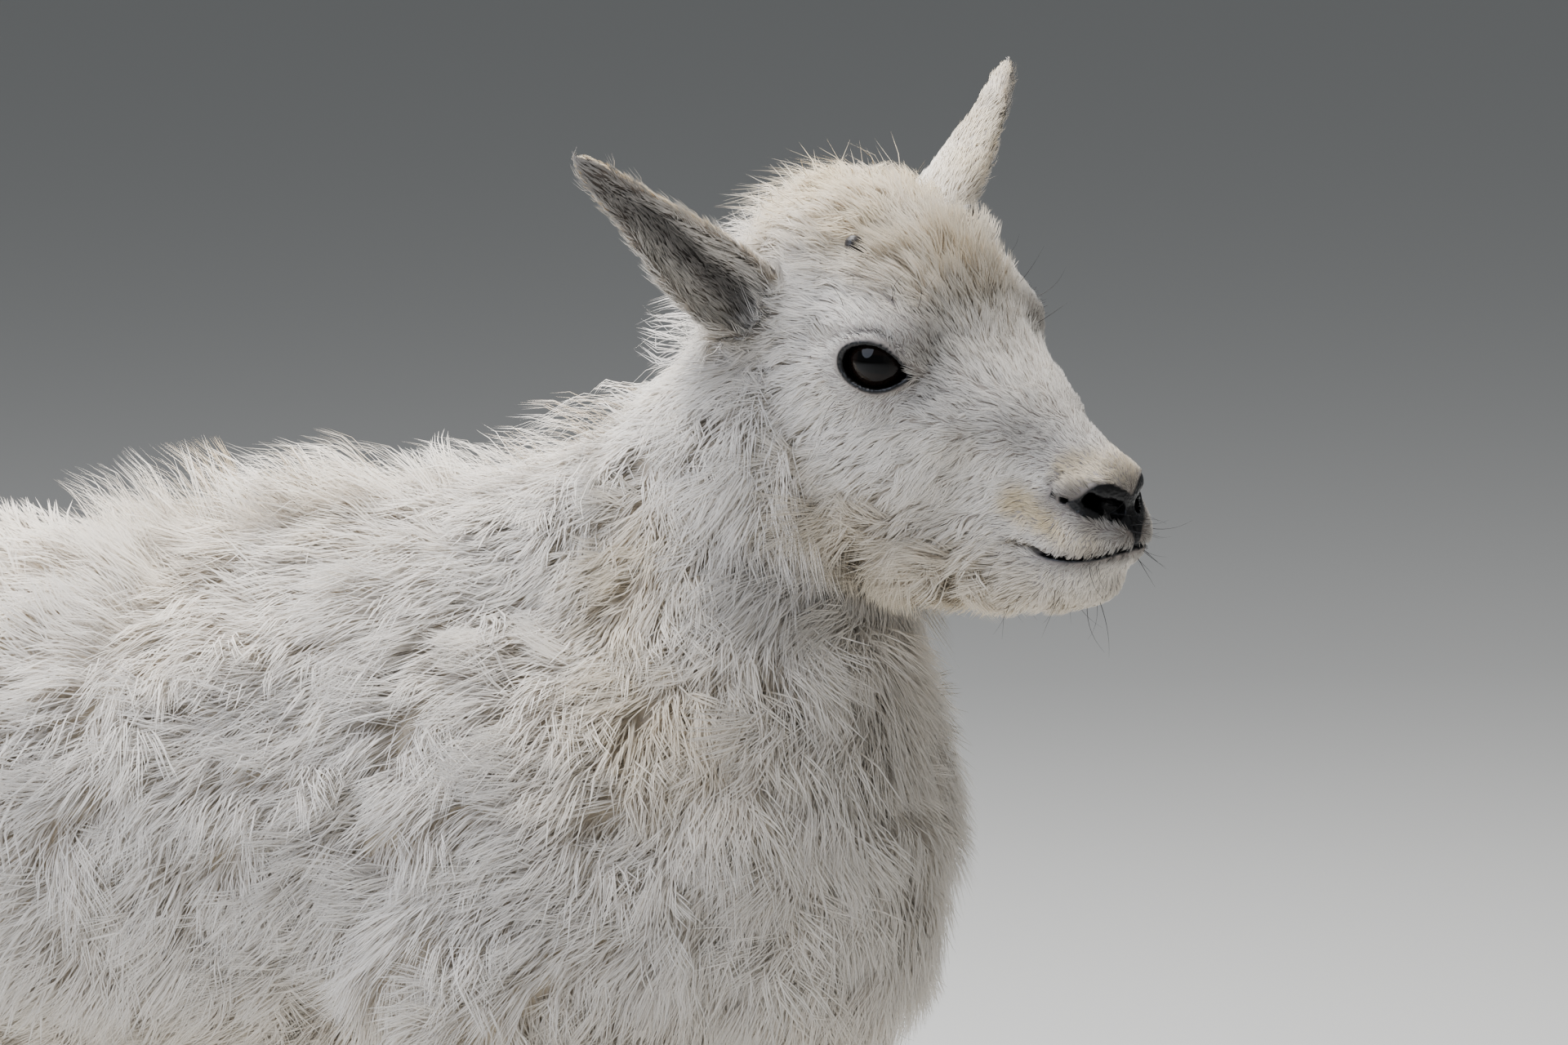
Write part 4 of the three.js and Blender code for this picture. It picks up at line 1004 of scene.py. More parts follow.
    def body_coat(self, points: Array, normals: Array, where: Dict[str, Array]) -> Tuple[Array, Array]:
        """The coat of trunk, neck, legs and tail: woolly above the knees, short below, fringed on the feet.

        Args:
            points: N by 3, in mm.
            normals: the skin's unit normals there.
            where: their regions.

        Returns:
            Its length and its height.
        """
        px, _, pz = columns(points)
        up, leg = normals[:, 2], where["leg"]
        crest = ramp(up, 0.35, 0.85) * (1.0 - ramp(off_ridge(points), 10.0, 42.0)) * ramp(px, -60.0, 80.0)
        chest = ramp(px, 165.0, 220.0)
        length = 22.0 + 7.0 * chest - 6.0 * where["neck"] * (1.0 - chest) + 3.0 * crest
        lift = 13.5 - 3.0 * ramp(-up, 0.4, 0.9) - 7.5 * where["neck"] * (1.0 - chest)
        lift = lift - 5.0 * crest * ramp(px, 0.0, 60.0) * (1.0 - where["neck"])
        fringe = bell((pz, 34.0, 9.0))
        leg_length = mix(5.0, 26.0, ramp(pz, 125.0, 236.0)) + 8.0 * fringe
        leg_lift = mix(1.3, 9.0, ramp(pz, 130.0, 240.0)) + 1.6 * fringe
        length, lift = mix(length, leg_length, leg), mix(lift, leg_lift, leg)
        return mix(length, 42.0, where["tail"]), mix(lift, 7.0, where["tail"])

    def head_coat(self, where: Dict[str, Array]) -> Tuple[Array, Array]:
        """The coat of the head: short before the eyes, woolly on crown and nape, longer under the jaw.

        Args:
            where: the places' regions.

        Returns:
            Its length and its height.
        """
        hx, hy, hz = folded(where["h"])
        eye, bud = (np.sqrt((hx - x) ** 2 + (hy - y) ** 2 + (hz - z) ** 2) for x, y, z in (EYE_AT, BUD_SHOWS))
        close = 1.0 - ramp(eye, 15.0, 30.0)
        length = mix(mix(9.5, 3.2, ramp(hx, -6.0, 84.0)), 3.4, close)
        lift = mix(mix(2.6, 0.8, ramp(hx, -6.0, 80.0)), 0.7, close)
        crown = ramp(hz, 8.0, 26.0) * ramp(-hx, -24.0, 4.0) * (1.0 - close)
        crease = 1.0 - 0.75 * bell((hx, -27.0, 5.0))
        parted = 1.0 - 0.8 * (1.0 - ramp(bud, 4.0, 11.0))
        nape = ramp(-hx, 20.0, 74.0)
        jaw = ramp(-hz, 42.0, 70.0) * (1.0 - ramp(hx, 22.0, 88.0) * 0.85)
        cheek = ramp(-hz, 12.0, 42.0) * ramp(-hx, -34.0, 10.0)
        length = np.maximum.reduce([length, 11.0 * crown * parted, 16.0 * nape, 20.0 * jaw, 10.0 * cheek])
        high_crown = 8.0 * crown * crease * parted
        lift = np.maximum.reduce([lift, high_crown, 6.5 * nape, 12.0 * jaw, 4.6 * cheek])
        rim = where["ear"] * (1.0 - where["cup"])
        tip = ramp(where["ear_along"], 30.0, 95.0)
        length = mix(mix(length, mix(6.0, 4.5, tip), rim), 8.5, where["cup"])
        lift = mix(mix(lift, mix(1.4, 1.0, tip), rim), 1.8, where["cup"])
        return length, lift

    def survey(self, points: Array, normals: Array) -> Survey:
        """Everything about the coat at places on the skin.

        Args:
            points: N by 3, in mm.
            normals: the skin's unit normals there.

        Returns:
            The coat's fields.
        """
        where = self.regions(points, normals)
        h, head, cup, along = where["h"], where["head"], where["cup"], where["ear_along"]
        length, lift = (
            mix(body, face, head)
            for body, face in zip(self.body_coat(points, normals, where), self.head_coat(where))
        )
        dark = self.dark(h) * head * (1.0 - where["ear"])
        bare = ramp(dark, 0.25, 0.7)
        # Painted shade: hair and skin along the deepest line of the ear's cup are darkened towards black,
        # less towards the tip
        cup_shade = 1.0 - ramp(np.abs(where["ear_across"] + 1.5) / EAR_HALF_WIDTH, 0.05, 0.5)
        dark = np.maximum(dark, 0.6 * cup * cup_shade * (1.0 - ramp(along, 60.0, 96.0)))
        above_hooves = ramp(points[:, 2], CORONET - 1.0, CORONET + 3.0)
        return Survey(
            points, normals, head, where["ear"], cup, where["neck"], where["leg"], where["tail"],
            length, lift, (1.0 - bare) * mix(1.0, 0.8, cup) * above_hooves,
            self.warm(points, normals, where), self.grey(h, where), dark,
        )


COAT = CoatMap()


# The coat's tufts


@dataclass(frozen=True)
class Tufts:
    """One piece of the coat: thin ridged blades that gather into locks.

    Attributes:
        name: name of the piece.
        count: number of blades.
        bends: cross-sections of a blade before its tip.
        width: width of a blade, in mm.
        lock: spacing of the locks, in mm.
        wisp: spacing of the wisps that a lock is made of, in mm.
        gather: how far tips draw together in a wisp.
        turn: how far locks turn from the lie, in degrees.
        crimp: sideways wave, in mm.
        axis: ends of the line round which the piece is unwrapped, in mm.
        seed: number that fixes the random draws.
        uneven: how far the height changes from lock to lock, as a share.
        extra: length and height added to the coat's own, in mm.
    """

    name: str
    count: int
    bends: int
    width: float
    lock: float
    wisp: float
    gather: float
    turn: float
    crimp: float
    axis: Tuple[Sequence[float], Sequence[float]]
    seed: int
    uneven: float = 0.22
    extra: Tuple[float, float] = (0.0, 0.0)

    PATCH = 0.003  # side of a blade's patch on the unwrap

    def roots(self, skin: "Hide", share: Array, random: np.random.Generator) -> Tuple[Array, Array]:
        """Random places on the skin.

        Args:
            skin: the skin to stand on.
            share: how densely each of its triangles is covered.
            random: source of the draws.

        Returns:
            Places and normals.
        """
        weight = np.cumsum(skin.areas * share)
        draw = (np.arange(self.count) + random.random(self.count)) * (weight[-1] / self.count)
        chosen = np.minimum(np.searchsorted(weight, draw), len(weight) - 1)
        u, v = np.sqrt(random.random(self.count)), random.random(self.count)
        shares = np.stack([1.0 - u, u * (1.0 - v), u * v], -1)[:, :, None]
        corners = skin.triangles[chosen]
        return (skin.points[corners] * shares).sum(1), unit((skin.normals[corners] * shares).sum(1))

    def leaders(self, points: Array, spacing: float, area: float, random: np.random.Generator) -> Array:
        """Picks the roots that lead a lock or a wisp.

        Args:
            points: all the roots, in mm.
            spacing: distance between leaders, in mm.
            area: the area covered, in square mm.
            random: source of the draws.

        Returns:
            For each root the number of its leader.
        """
        count = int(max(4, min(len(points), area / (0.87 * spacing * spacing))))
        picked = random.choice(len(points), count, replace=False)
        tree = KDTree(count)
        for number, place in enumerate(points[picked]):
            tree.insert(place, number)
        tree.balance()
        return picked[[tree.find(place)[1] for place in points]]

    def grow(self, skin: "Hide", share: Array) -> bpy.types.Object:
        """Grows the blades on the skin.

        Args:
            skin: the skin to stand on.
            share: how densely each of its triangles is covered.

        Returns:
            The piece as one mesh.
        """
        random = np.random.default_rng(self.seed)
        start, normals = self.roots(skin, share, random)
        here = COAT.survey(start, normals)
        count, rings = self.count, self.bends + 1
        area = float((skin.areas * share).sum())
        lock, wisp = (self.leaders(start, s, area, random) for s in (self.lock, self.wisp))
        big, small, own = (random.standard_normal((count, 3)) for _ in range(3))
        angle = np.radians(self.turn) * (0.8 * big[lock, 0] + 0.5 * small[wisp, 0] + 0.45 * own[:, 0])
        stretch = 1.0 + 0.14 * big[lock, 1] + 0.12 * small[wisp, 1] + 0.2 * own[:, 1]
        swell = 1.0 + self.uneven * big[lock, 2] + 0.14 * small[wisp, 2] + 0.2 * own[:, 2]
        length = (here.length + self.extra[0]) * np.clip(stretch, 0.4, 1.6)
        lift = (here.lift + self.extra[1]) * np.clip(swell, 0.3, 1.6)
        path = np.empty((count, rings, 3))
        ups = np.empty((count, rings, 3))
        place, up = start.copy(), normals.copy()
        path[:, 0] = start - normals * np.minimum(1.0, here.lift * 0.4)[:, None]
        ups[:, 0] = normals
        turned = np.stack([np.cos(angle), np.sin(angle)], -1)
        for ring in range(1, rings):
            t = ring / (rings - 1)
            way = COAT.lie(place, up)
            way = way * turned[:, :1] + np.cross(up, way) * turned[:, 1:]
            place = place + way * (length / (rings - 1))[:, None]
            up = skin.slope(place)
            height = lift * (1.0 - (1.0 - t) ** 1.6)
            place = place + up * (height - skin.distance(place))[:, None]
            path[:, ring], ups[:, ring] = place, up
        # Tips draw together, first in wisps and then in locks, and wave to the side
        steps = np.linspace(0.0, 1.0, rings)
        draw_in = (self.gather * steps ** 1.3)[None, :, None]
        path = path + draw_in * (path[wisp] - path) * 0.85
        path = path + 0.35 * draw_in * (path[lock] - path) * ramp(here.length, 12.0, 30.0)[:, None, None]
        ways = unit(np.gradient(path, axis=1))
        sides = unit(np.cross(ways, ups))
        wave = np.sin(steps[None] * (5.0 + 1.5 * small[wisp, 1][:, None]) + 6.0 * small[wisp, 0][:, None])
        loose = np.sin(steps[None] * 4.0 + 3.0 * own[:, :1]) * own[:, 1:2] * 0.6
        swing = self.crimp * (wave + loose) * steps[None] * (here.length / 30.0)[:, None]
        path = path + sides * swing[..., None]
        tone = np.clip(0.55 + 0.14 * big[lock, 0] + 0.16 * small[wisp, 2] + 0.16 * own[:, 2], 0.0, 1.0)
        return self.blades(here, path, ways, sides, random_size(own[:, 0]), tone)

    def blades(
        self, here: Survey, path: Array, ways: Array, sides: Array, sizes: Array, tone: Array
    ) -> bpy.types.Object:
        """Makes ridged blades along paths.

        Args:
            here: the coat's fields at the roots.
            path: places along each blade.
            ways: directions along each blade.
            sides: directions across each blade.
            sizes: how thick each blade is, about 1.
            tone: how light each blade is, from 0 to 1.

        Returns:
            The piece.
        """
        count, rings = path.shape[:2]
        steps = np.linspace(0.0, 1.0, rings)
        ridge = unit(np.cross(sides, ways))
        slender = np.clip(here.length / 12.0, 0.34, 1.0) ** 0.5
        half = 0.5 * self.width * (0.75 + 0.3 * sizes) * slender
        profile = half[:, None] * np.interp(steps, [0.0, 0.35, 0.75, 1.0], [0.8, 1.0, 0.72, 0.0])[None]
        left = path - sides * profile[..., None]
        right = path + sides * profile[..., None]
        top = path + ridge * (profile * 0.6)[..., None]
        rows = np.stack([left, top, right], 2)[:, :-1].reshape(count, -1, 3)
        points = np.concatenate([rows, path[:, -1:]], 1)
        each = points.shape[1]
        tilt = np.array([-0.55, 0.0, 0.55])[None, None, :, None]
        soft = unit(ridge[:, :, None] * 0.6 + here.normals[:, None, None] + sides[:, :, None] * tilt)
        facing = np.concatenate([soft[:, :-1].reshape(count, -1, 3), soft[:, -1:, 1]], 1)
        pattern: List[Tuple[int, int, int]] = []
        for ring in range(rings - 2):
            for side in range(2):
                a = ring * 3 + side
                pattern += [(a, a + 1, a + 4), (a, a + 4, a + 3)]
        last = (rings - 2) * 3
        pattern += [(last, last + 1, each - 1), (last + 1, last + 2, each - 1)]
        faces = (np.array(pattern)[None] + (np.arange(count) * each)[:, None, None]).reshape(-1, 3)
        made = as_mesh(self.name, points.reshape(-1, 3), faces)
        along = np.append(np.repeat(steps[:-1], 3), 1.0)
        across = np.append(np.tile([0.0, 0.5, 1.0], rings - 1), 0.5)
        fields = {
            "tone": tone, "warm": here.warm, "grey": here.grey, "dark": here.dark, "cup": here.cup,
            "long": np.clip(here.length / LONG_HAIR, 0.0, 1.0),
        }
        give_values(made, {name: np.repeat(values, each) for name, values in fields.items()})
        give_values(made, {"along": np.tile(along, count)})
        place = unwrap(here.points, self.axis)
        uv = place[:, None] + self.PATCH * np.stack([across, along], -1)[None]
        layer = made.data.uv_layers.new(name="OFBake")
        layer.uv.foreach_set("vector", uv.reshape(-1, 2)[faces.ravel()].astype(np.float32).ravel())
        made.data.attributes.new("custom_normal", "FLOAT_VECTOR", "POINT").data.foreach_set(
            "vector", facing.astype(np.float32).ravel()
        )
        return made


def random_size(draw: Array) -> Array:
    """A normal draw as a size about 1, never under a quarter."""
    return np.clip(1.0 + 0.3 * draw, 0.25, 2.0)


def unwrap(points: Array, axis: Sequence[Sequence[float]]) -> Array:
    """Places on the unit square: turn round a line, and way along it.

    Args:
        points: N by 3, in mm.
        axis: the line's two ends.

    Returns:
        N by 2, inside the square.
    """
    start = np.array(axis[0])
    way = np.array(axis[1]) - start
    long = float(np.linalg.norm(way))
    way = way / long
    first = unit(np.cross(way, [0.0, 1.0, 0.1]))
    second = np.cross(way, first)
    q = points - start
    turn = np.arctan2(q @ second, q @ first) / (2.0 * math.pi) + 0.5
    return np.stack([0.01 + 0.97 * turn, np.clip(0.01 + 0.97 * (q @ way) / long, 0.005, 0.99)], -1)


@dataclass
class Hide:
    """The bare skin as one closed surface, with its fields."""

    grid: FineGrid = FineGrid()
    low: Tuple[float, float, float] = (-330.0, -120.0, 15.0)
    high: Tuple[float, float, float] = (385.0, 126.0, 630.0)
    points: Array = field(init=False)
    quads: Array = field(init=False)
    triangles: Array = field(init=False)
    normals: Array = field(init=False)
    areas: Array = field(init=False)

    def distance(self, points: Array) -> Array:
        """Distances of points to the skin, in mm."""
        return BODY.skin(points)

    def slope(self, points: Array) -> Array:
        """Unit normals of the skin at points."""
        return BODY.slope(points)

    def build(self) -> bpy.types.Object:
        """Draws the skin and measures it.

        Returns:
            The skin as one mesh.
        """
        low, high = np.array(self.low), np.array(self.high)
        self.points, self.quads = SkinNet(self.distance, self.grid, low, high).draw()
        for _ in range(2):
            off = np.clip(self.distance(self.points), -1.2, 1.2)
            self.points = self.points - self.slope(self.points) * off[:, None]
        self.normals = self.slope(self.points)
        self.triangles = np.concatenate([self.quads[:, [0, 1, 2]], self.quads[:, [0, 2, 3]]])
        a, b, c = (self.points[self.triangles[:, i]] for i in range(3))
        self.areas = 0.5 * np.linalg.norm(np.cross(b - a, c - a), axis=1)
        made = as_mesh("skin", self.points, self.quads)
        here = COAT.survey(self.points, self.normals)
        give_values(made, {
            "warm": here.warm, "grey": here.grey, "dark": here.dark, "cup": here.cup,
            "long": np.clip(here.length / LONG_HAIR, 0.0, 1.0),
        })
        return made


# Finishes


def linear(hex_colour: str) -> Tuple[float, float, float, float]:
    """A colour given as sRGB hex, as linear RGBA.

    Args:
        hex_colour: the colour, such as #C4C3C0.

    Returns:
        Red, green, blue and 1.
    """
    parts = [int(hex_colour.lstrip("#")[i:i + 2], 16) / 255.0 for i in (0, 2, 4)]
    flat = [c / 12.92 if c <= 0.04045 else ((c + 0.055) / 1.055) ** 2.4 for c in parts]
    return (flat[0], flat[1], flat[2], 1.0)


def grains(size_mm: float) -> float:
    """The scale of a pattern whose grains are this wide."""
    return 1.0 / (size_mm * MM)


def node(
    tree: bpy.types.NodeTree, kind: str, inputs: Union[Dict, Sequence] = (), **settings: object
) -> bpy.types.Node:
    """Adds a node with its settings and links.

    Args:
        tree: the tree to add it to.
        kind: the node's type.
        inputs: what goes into each input, in their order or by name or number: a value, a socket, or a node,
            of which the first output in use is linked.
        settings: properties of the node.

    Returns:
        The node.
    """
    made = tree.nodes.new(kind)
    for name, value in settings.items():
        setattr(made, name, value)
    for name, value in inputs.items() if isinstance(inputs, dict) else enumerate(inputs):
        if isinstance(value, bpy.types.Node):
            value = next(output for output in value.outputs if output.enabled)
        if isinstance(value, bpy.types.NodeSocket):
            tree.links.new(value, made.inputs[name])
        else:
            made.inputs[name].default_value = value
    return made


class Finish:
    """A material in the making: its node tree, its place coordinates and the piece's own attributes."""

    def __init__(self, name: str, *fields: str) -> None:
        """Starts an empty material.

        Args:
            name: name of the material.
            fields: attributes of the pieces that it reads.
        """
        self.material = bpy.data.materials.new(name)
        self.material.use_nodes = True
        self.tree = self.material.node_tree
        self.tree.nodes.clear()
        self.place = node(self.tree, "ShaderNodeTexCoord").outputs["Object"]
        self.fields = [
            node(self.tree, "ShaderNodeAttribute", attribute_name=name).outputs["Fac"] for name in fields
        ]

    def close(self, colour: object, roughness: object, **others: object) -> bpy.types.Material:
        """Gives the material its shader.

        Args:
            colour: base colour.
            roughness: roughness.
            others: further inputs of the shader, with _ for a blank.

        Returns:
            The material.
        """
        inputs = {"Base Color": colour, "Roughness": roughness}
        inputs.update({name.replace("_", " "): value for name, value in others.items()})
        shader = node(self.tree, "ShaderNodeBsdfPrincipled", inputs)
        node(self.tree, "ShaderNodeOutputMaterial", {"Surface": shader})
        return self.material


@dataclass(frozen=True)
class Wool:
    """Unwashed kid's wool and hair: matt, cream at the tips, grey or black on the face, with painted shade in
    beige-grey towards the roots.
    """

    cream: str = "#F8F1E6"
    warm: str = "#D8C08E"
    grey: str = "#85807C"
    black: str = "#1B1817"
    # painted shade: the beige-grey that each hair is multiplied by towards its roots, deep in the coat
    deep: str = "#B5A48C"
    fibre_mm: float = 0.5
    patch_mm: float = 38.0
    name: str = "kid's wool"

    def build(self) -> bpy.types.Material:
        """Makes the material: stained in patches, with painted shade that darkens each hair towards its root,
        each lock and fibre of its own tone.

        Returns:
            The material.
        """
        made = Finish(self.name, "along", "warm", "grey", "long", "dark", "tone")
        tree, mixed, by = made.tree, {"data_type": "RGBA"}, {"operation": "MULTIPLY"}
        along, warm, grey, long, dark, tone = made.fields
        names = {"Vector": made.place, "Scale": grains(self.fibre_mm), "Detail": 1.0}
        fibre = node(tree, "ShaderNodeTexNoise", names)
        patch = node(tree, "ShaderNodeTexNoise", {**names, "Scale": grains(self.patch_mm), "Detail": 2.0})
        patch = node(tree, "ShaderNodeMapRange", (patch, 0.3, 0.7, 0.55, 1.1))
        warm = node(tree, "ShaderNodeMath", (warm, patch), **by)
        colour = node(tree, "ShaderNodeMix", {0: warm, 6: linear(self.cream), 7: linear(self.warm)}, **mixed)
        # grey is real grey skin and hair, and also painted shade in the crown's crease and under the jaw
        grey = node(tree, "ShaderNodeMath", (grey, 0.8), **by)
        colour = node(tree, "ShaderNodeMix", {0: grey, 6: colour, 7: linear(self.grey)}, **mixed)
        # Painted shade: each hair darkens towards its root, more where the hair is long and the coat deep
        root = node(tree, "ShaderNodeMapRange", (along, 0.0, 0.7, 1.0, 0.0))
        long = node(tree, "ShaderNodeMapRange", (long, 0.1, 1.0, 0.3, 0.7))
        root = node(tree, "ShaderNodeMath", (root, long), **by)
        deep = {0: 0.75, 6: colour, 7: linear(self.deep)}
        deep = node(tree, "ShaderNodeMix", deep, blend_type="MULTIPLY", **mixed)
        colour = node(tree, "ShaderNodeMix", {0: root, 6: colour, 7: deep}, **mixed)
        # dark is black bare skin, and also painted shade down the middle of the ear's cup
        colour = node(tree, "ShaderNodeMix", {0: dark, 6: colour, 7: linear(self.black)}, **mixed)
        tone = node(tree, "ShaderNodeMapRange", (tone, 0.0, 1.0, 0.76, 1.1))
        fibre = node(tree, "ShaderNodeMapRange", (fibre, 0.3, 0.7, 0.93, 1.04))
        shade = node(tree, "ShaderNodeMath", (tone, fibre), **by)
        shade = node(tree, "ShaderNodeCombineColor", (shade, shade, shade))
        colour = node(tree, "ShaderNodeMix", {0: 1.0, 6: colour, 7: shade}, blend_type="MULTIPLY", **mixed)
        return made.close(colour, 0.68, Specular_IOR_Level=0.28, Sheen_Weight=0.2, Sheen_Roughness=0.45)


@dataclass(frozen=True)
class Skin:
    """Live skin: warm beige under the coat, grey in the ears, moist black leather on nose, lids and lips."""

    under: str = "#D0C2AC"
    face: str = "#A8A09A"
    grey: str = "#5E534C"
    black: str = "#0B0A0A"
    pore_mm: float = 1.3
    blotch_mm: float = 3.0
    name: str = "kid's skin"

    def build(self) -> bpy.types.Material:
        """Makes the material: blotched, with a leather's pores that are deeper and shinier where it is black.

        Returns:
            The material.
        """
        made = Finish(self.name, "long", "dark", "grey")
        tree, mixed, by = made.tree, {"data_type": "RGBA"}, {"operation": "MULTIPLY"}
        long, dark, grey = made.fields
        long = node(tree, "ShaderNodeMapRange", (long, 0.05, 0.5, 0.0, 1.0))
        colour = node(tree, "ShaderNodeMix", {0: long, 6: linear(self.face), 7: linear(self.under)}, **mixed)
        # grey is real grey skin, and also painted shade in the crown's crease and under the jaw
        grey = node(tree, "ShaderNodeMath", (grey, 0.75), **by)
        colour = node(tree, "ShaderNodeMix", {0: grey, 6: colour, 7: linear(self.grey)}, **mixed)
        names = {"Vector": made.place, "Scale": grains(self.blotch_mm), "Detail": 2.0}
        blotch = node(tree, "ShaderNodeTexNoise", names)
        blotch = node(tree, "ShaderNodeMapRange", (blotch, 0.35, 0.65, 0.85, 1.08))
        blotch = node(tree, "ShaderNodeCombineColor", (blotch, blotch, blotch))
        colour = node(tree, "ShaderNodeMix", {0: 1.0, 6: colour, 7: blotch}, blend_type="MULTIPLY", **mixed)
        # dark is black bare skin, and also painted shade down the middle of the ear's cup
        leather = node(tree, "ShaderNodeMapRange", (dark, 0.15, 0.75, 0.0, 1.0))
        colour = node(tree, "ShaderNodeMix", {0: leather, 6: colour, 7: linear(self.black)}, **mixed)
        roughness = node(tree, "ShaderNodeMapRange", (dark, 0.3, 0.9, 0.75, 0.36))
        pores = node(tree, "ShaderNodeTexVoronoi", {"Vector": made.place, "Scale": grains(self.pore_mm)})
        depth = node(tree, "ShaderNodeMapRange", (dark, 0.3, 0.9, 0.3, 1.0))
        relief = node(tree, "ShaderNodeMath", (pores, depth), **by)
        bump = node(tree, "ShaderNodeBump", {"Height": relief, "Distance": 0.22 * MM, "Strength": 1.0})
        return made.close(colour, roughness, Specular_IOR_Level=0.4, Normal=bump)


@dataclass(frozen=True)
class WetEye:
    """A goat's eye: dark brown iris with a level slot for a pupil, under a clear wet cornea.

    Attributes:
        rings: each ring's colour and the radii, in mm, between which the one inside it gives way to it.
        pupil_half: half the pupil's length and height, in mm.
    """

    iris: str = "#120A06"
    pupil: str = "#010101"
    rings: Tuple[Tuple[str, float, float], ...] = (
        ("#070504", 8.4, 9.6), ("#1E1612", 10.6, 11.4), ("#070504", 12.2, 12.9)
    )
    pupil_half: Tuple[float, float] = (6.3, 3.4)
    name: str = "wet eye"

    def build(self) -> bpy.types.Material:
        """Makes the material: iris, dark rim, white and its edge as rings, and the pupil as a level bar.

        Returns:
            The material.
        """
        made = Finish(self.name, "eye_out", "eye_wide", "eye_high")
        tree, mixed = made.tree, {"data_type": "RGBA"}
        colour = linear(self.iris)
        for ring, inner, outer in self.rings:
            share = node(tree, "ShaderNodeMapRange", (made.fields[0], inner, outer, 0.0, 1.0))
            colour = node(tree, "ShaderNodeMix", {0: share, 6: colour, 7: linear(ring)}, **mixed)
        sides = []
        for way, half in zip(made.fields[1:], self.pupil_half):
            off = node(tree, "ShaderNodeMath", (way,), operation="ABSOLUTE")
            sides.append(node(tree, "ShaderNodeMath", (off, half), operation="DIVIDE"))
        bar = node(tree, "ShaderNodeMath", sides, operation="MAXIMUM")
        bar = node(tree, "ShaderNodeMapRange", (bar, 0.9, 1.1, 1.0, 0.0))
        colour = node(tree, "ShaderNodeMix", {0: bar, 6: colour, 7: linear(self.pupil)}, **mixed)
        wet = {"Coat_Weight": 0.5, "Coat_Roughness": 0.02, "Coat_IOR": 1.38}
        return made.close(colour, 0.05, IOR=1.376, Specular_IOR_Level=0.05, **wet)


@dataclass(frozen=True)
class Horn:
    """Keratin: dull black-brown, with fine growth rings across it, and paler where it is worn."""

    colour: str = "#2B2725"
    worn: str = "#5A514A"
    ring_mm: float = 1.6
    wear_mm: float = 5.0
    grain_mm: float = 0.6
    name: str = "hoof and horn"

    def build(self) -> bpy.types.Material:
        """Makes the material.

        Returns:
            The material.
        """
        made = Finish(self.name)
        tree, half = made.tree, {"operation": "MULTIPLY"}
        names = {"Vector": made.place, "Scale": grains(self.ring_mm) / math.pi, "Distortion": 1.2}
        rings = node(tree, "ShaderNodeTexWave", names, bands_direction="Z").outputs["Fac"]
        names = {"Vector": made.place, "Scale": grains(self.wear_mm), "Detail": 4.0}
        wear = node(tree, "ShaderNodeTexNoise", names)
        wear = node(tree, "ShaderNodeMapRange", (wear, 0.45, 0.75, 0.0, 0.7))
        colours = {0: wear, 6: linear(self.colour), 7: linear(self.worn)}
        colour = node(tree, "ShaderNodeMix", colours, data_type="RGBA")
        grain = node(tree, "ShaderNodeTexNoise", {**names, "Scale": grains(self.grain_mm), "Detail": 2.0})
        relief = [node(tree, "ShaderNodeMath", (layer, 0.5), **half) for layer in (rings, grain)]
        relief = node(tree, "ShaderNodeMath", relief, operation="ADD")
        bump = node(tree, "ShaderNodeBump", {"Height": relief, "Distance": 0.15 * MM, "Strength": 1.0})
        roughness = node(tree, "ShaderNodeMapRange", (wear, 0.0, 0.7, 0.42, 0.62))
        return made.close(colour, roughness, Normal=bump)


@dataclass(frozen=True)
class Plain:
    """A matt surface of one colour, for the floor and for dark bristles."""

    colour: str
    roughness: float
    name: str

    def build(self) -> bpy.types.Material:
        """Makes the material."""
        return Finish(self.name).close(linear(self.colour), self.roughness)


# The separate parts


class Side(Enum):
    """The kid's own left or right."""

    LEFT = 1
    RIGHT = -1

    @property
    def word(self) -> str:
        """The side's name."""
        return self.name.lower()

    @property
    def mirror(self) -> Array:
        """What turns a place or direction of the left side into this side's."""
        return np.array([1.0, self.value, 1.0])


def dress(made: bpy.types.Object, finish: bpy.types.Material, slot: str, *nodes: str) -> bpy.types.Object:
    """Gives a piece its finish and its place in the frame.

    Args:
        made: the piece.
        finish: its material.
        slot: not used.
        nodes: solids that it stands for.

    Returns:
        The piece.
    """
    made.data.materials.clear()
    made.data.materials.append(finish)
    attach(made, "root")
    if nodes:
        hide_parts(*nodes)
    LOG.info("%s: %d faces", made.name, len(made.data.polygons))
    return made


def revolved(rows: Array) -> Tuple[Array, Array]:
    """Closes rings of points into a skin, with a point at each end.

    Args:
        rows: R rings of N points, R by N by 3.

    Returns:
        Points and triangles, facing out where the rings turn left round their way.
    """
    count, each = rows.shape[:2]
    points = np.concatenate([rows.reshape(-1, 3), rows[:1].mean(1), rows[-1:].mean(1)])
    faces: List[Tuple[int, int, int]] = []
    for i in range(each):
        j = (i + 1) % each
        faces.append((count * each, j, i))
        faces.append((count * each + 1, (count - 1) * each + i, (count - 1) * each + j))
        for r in range(count - 1):
            a, b, c, d = r * each + i, r * each + j, (r + 1) * each + j, (r + 1) * each + i
            faces += [(a, b, c), (a, c, d)]
    return points, np.array(faces)


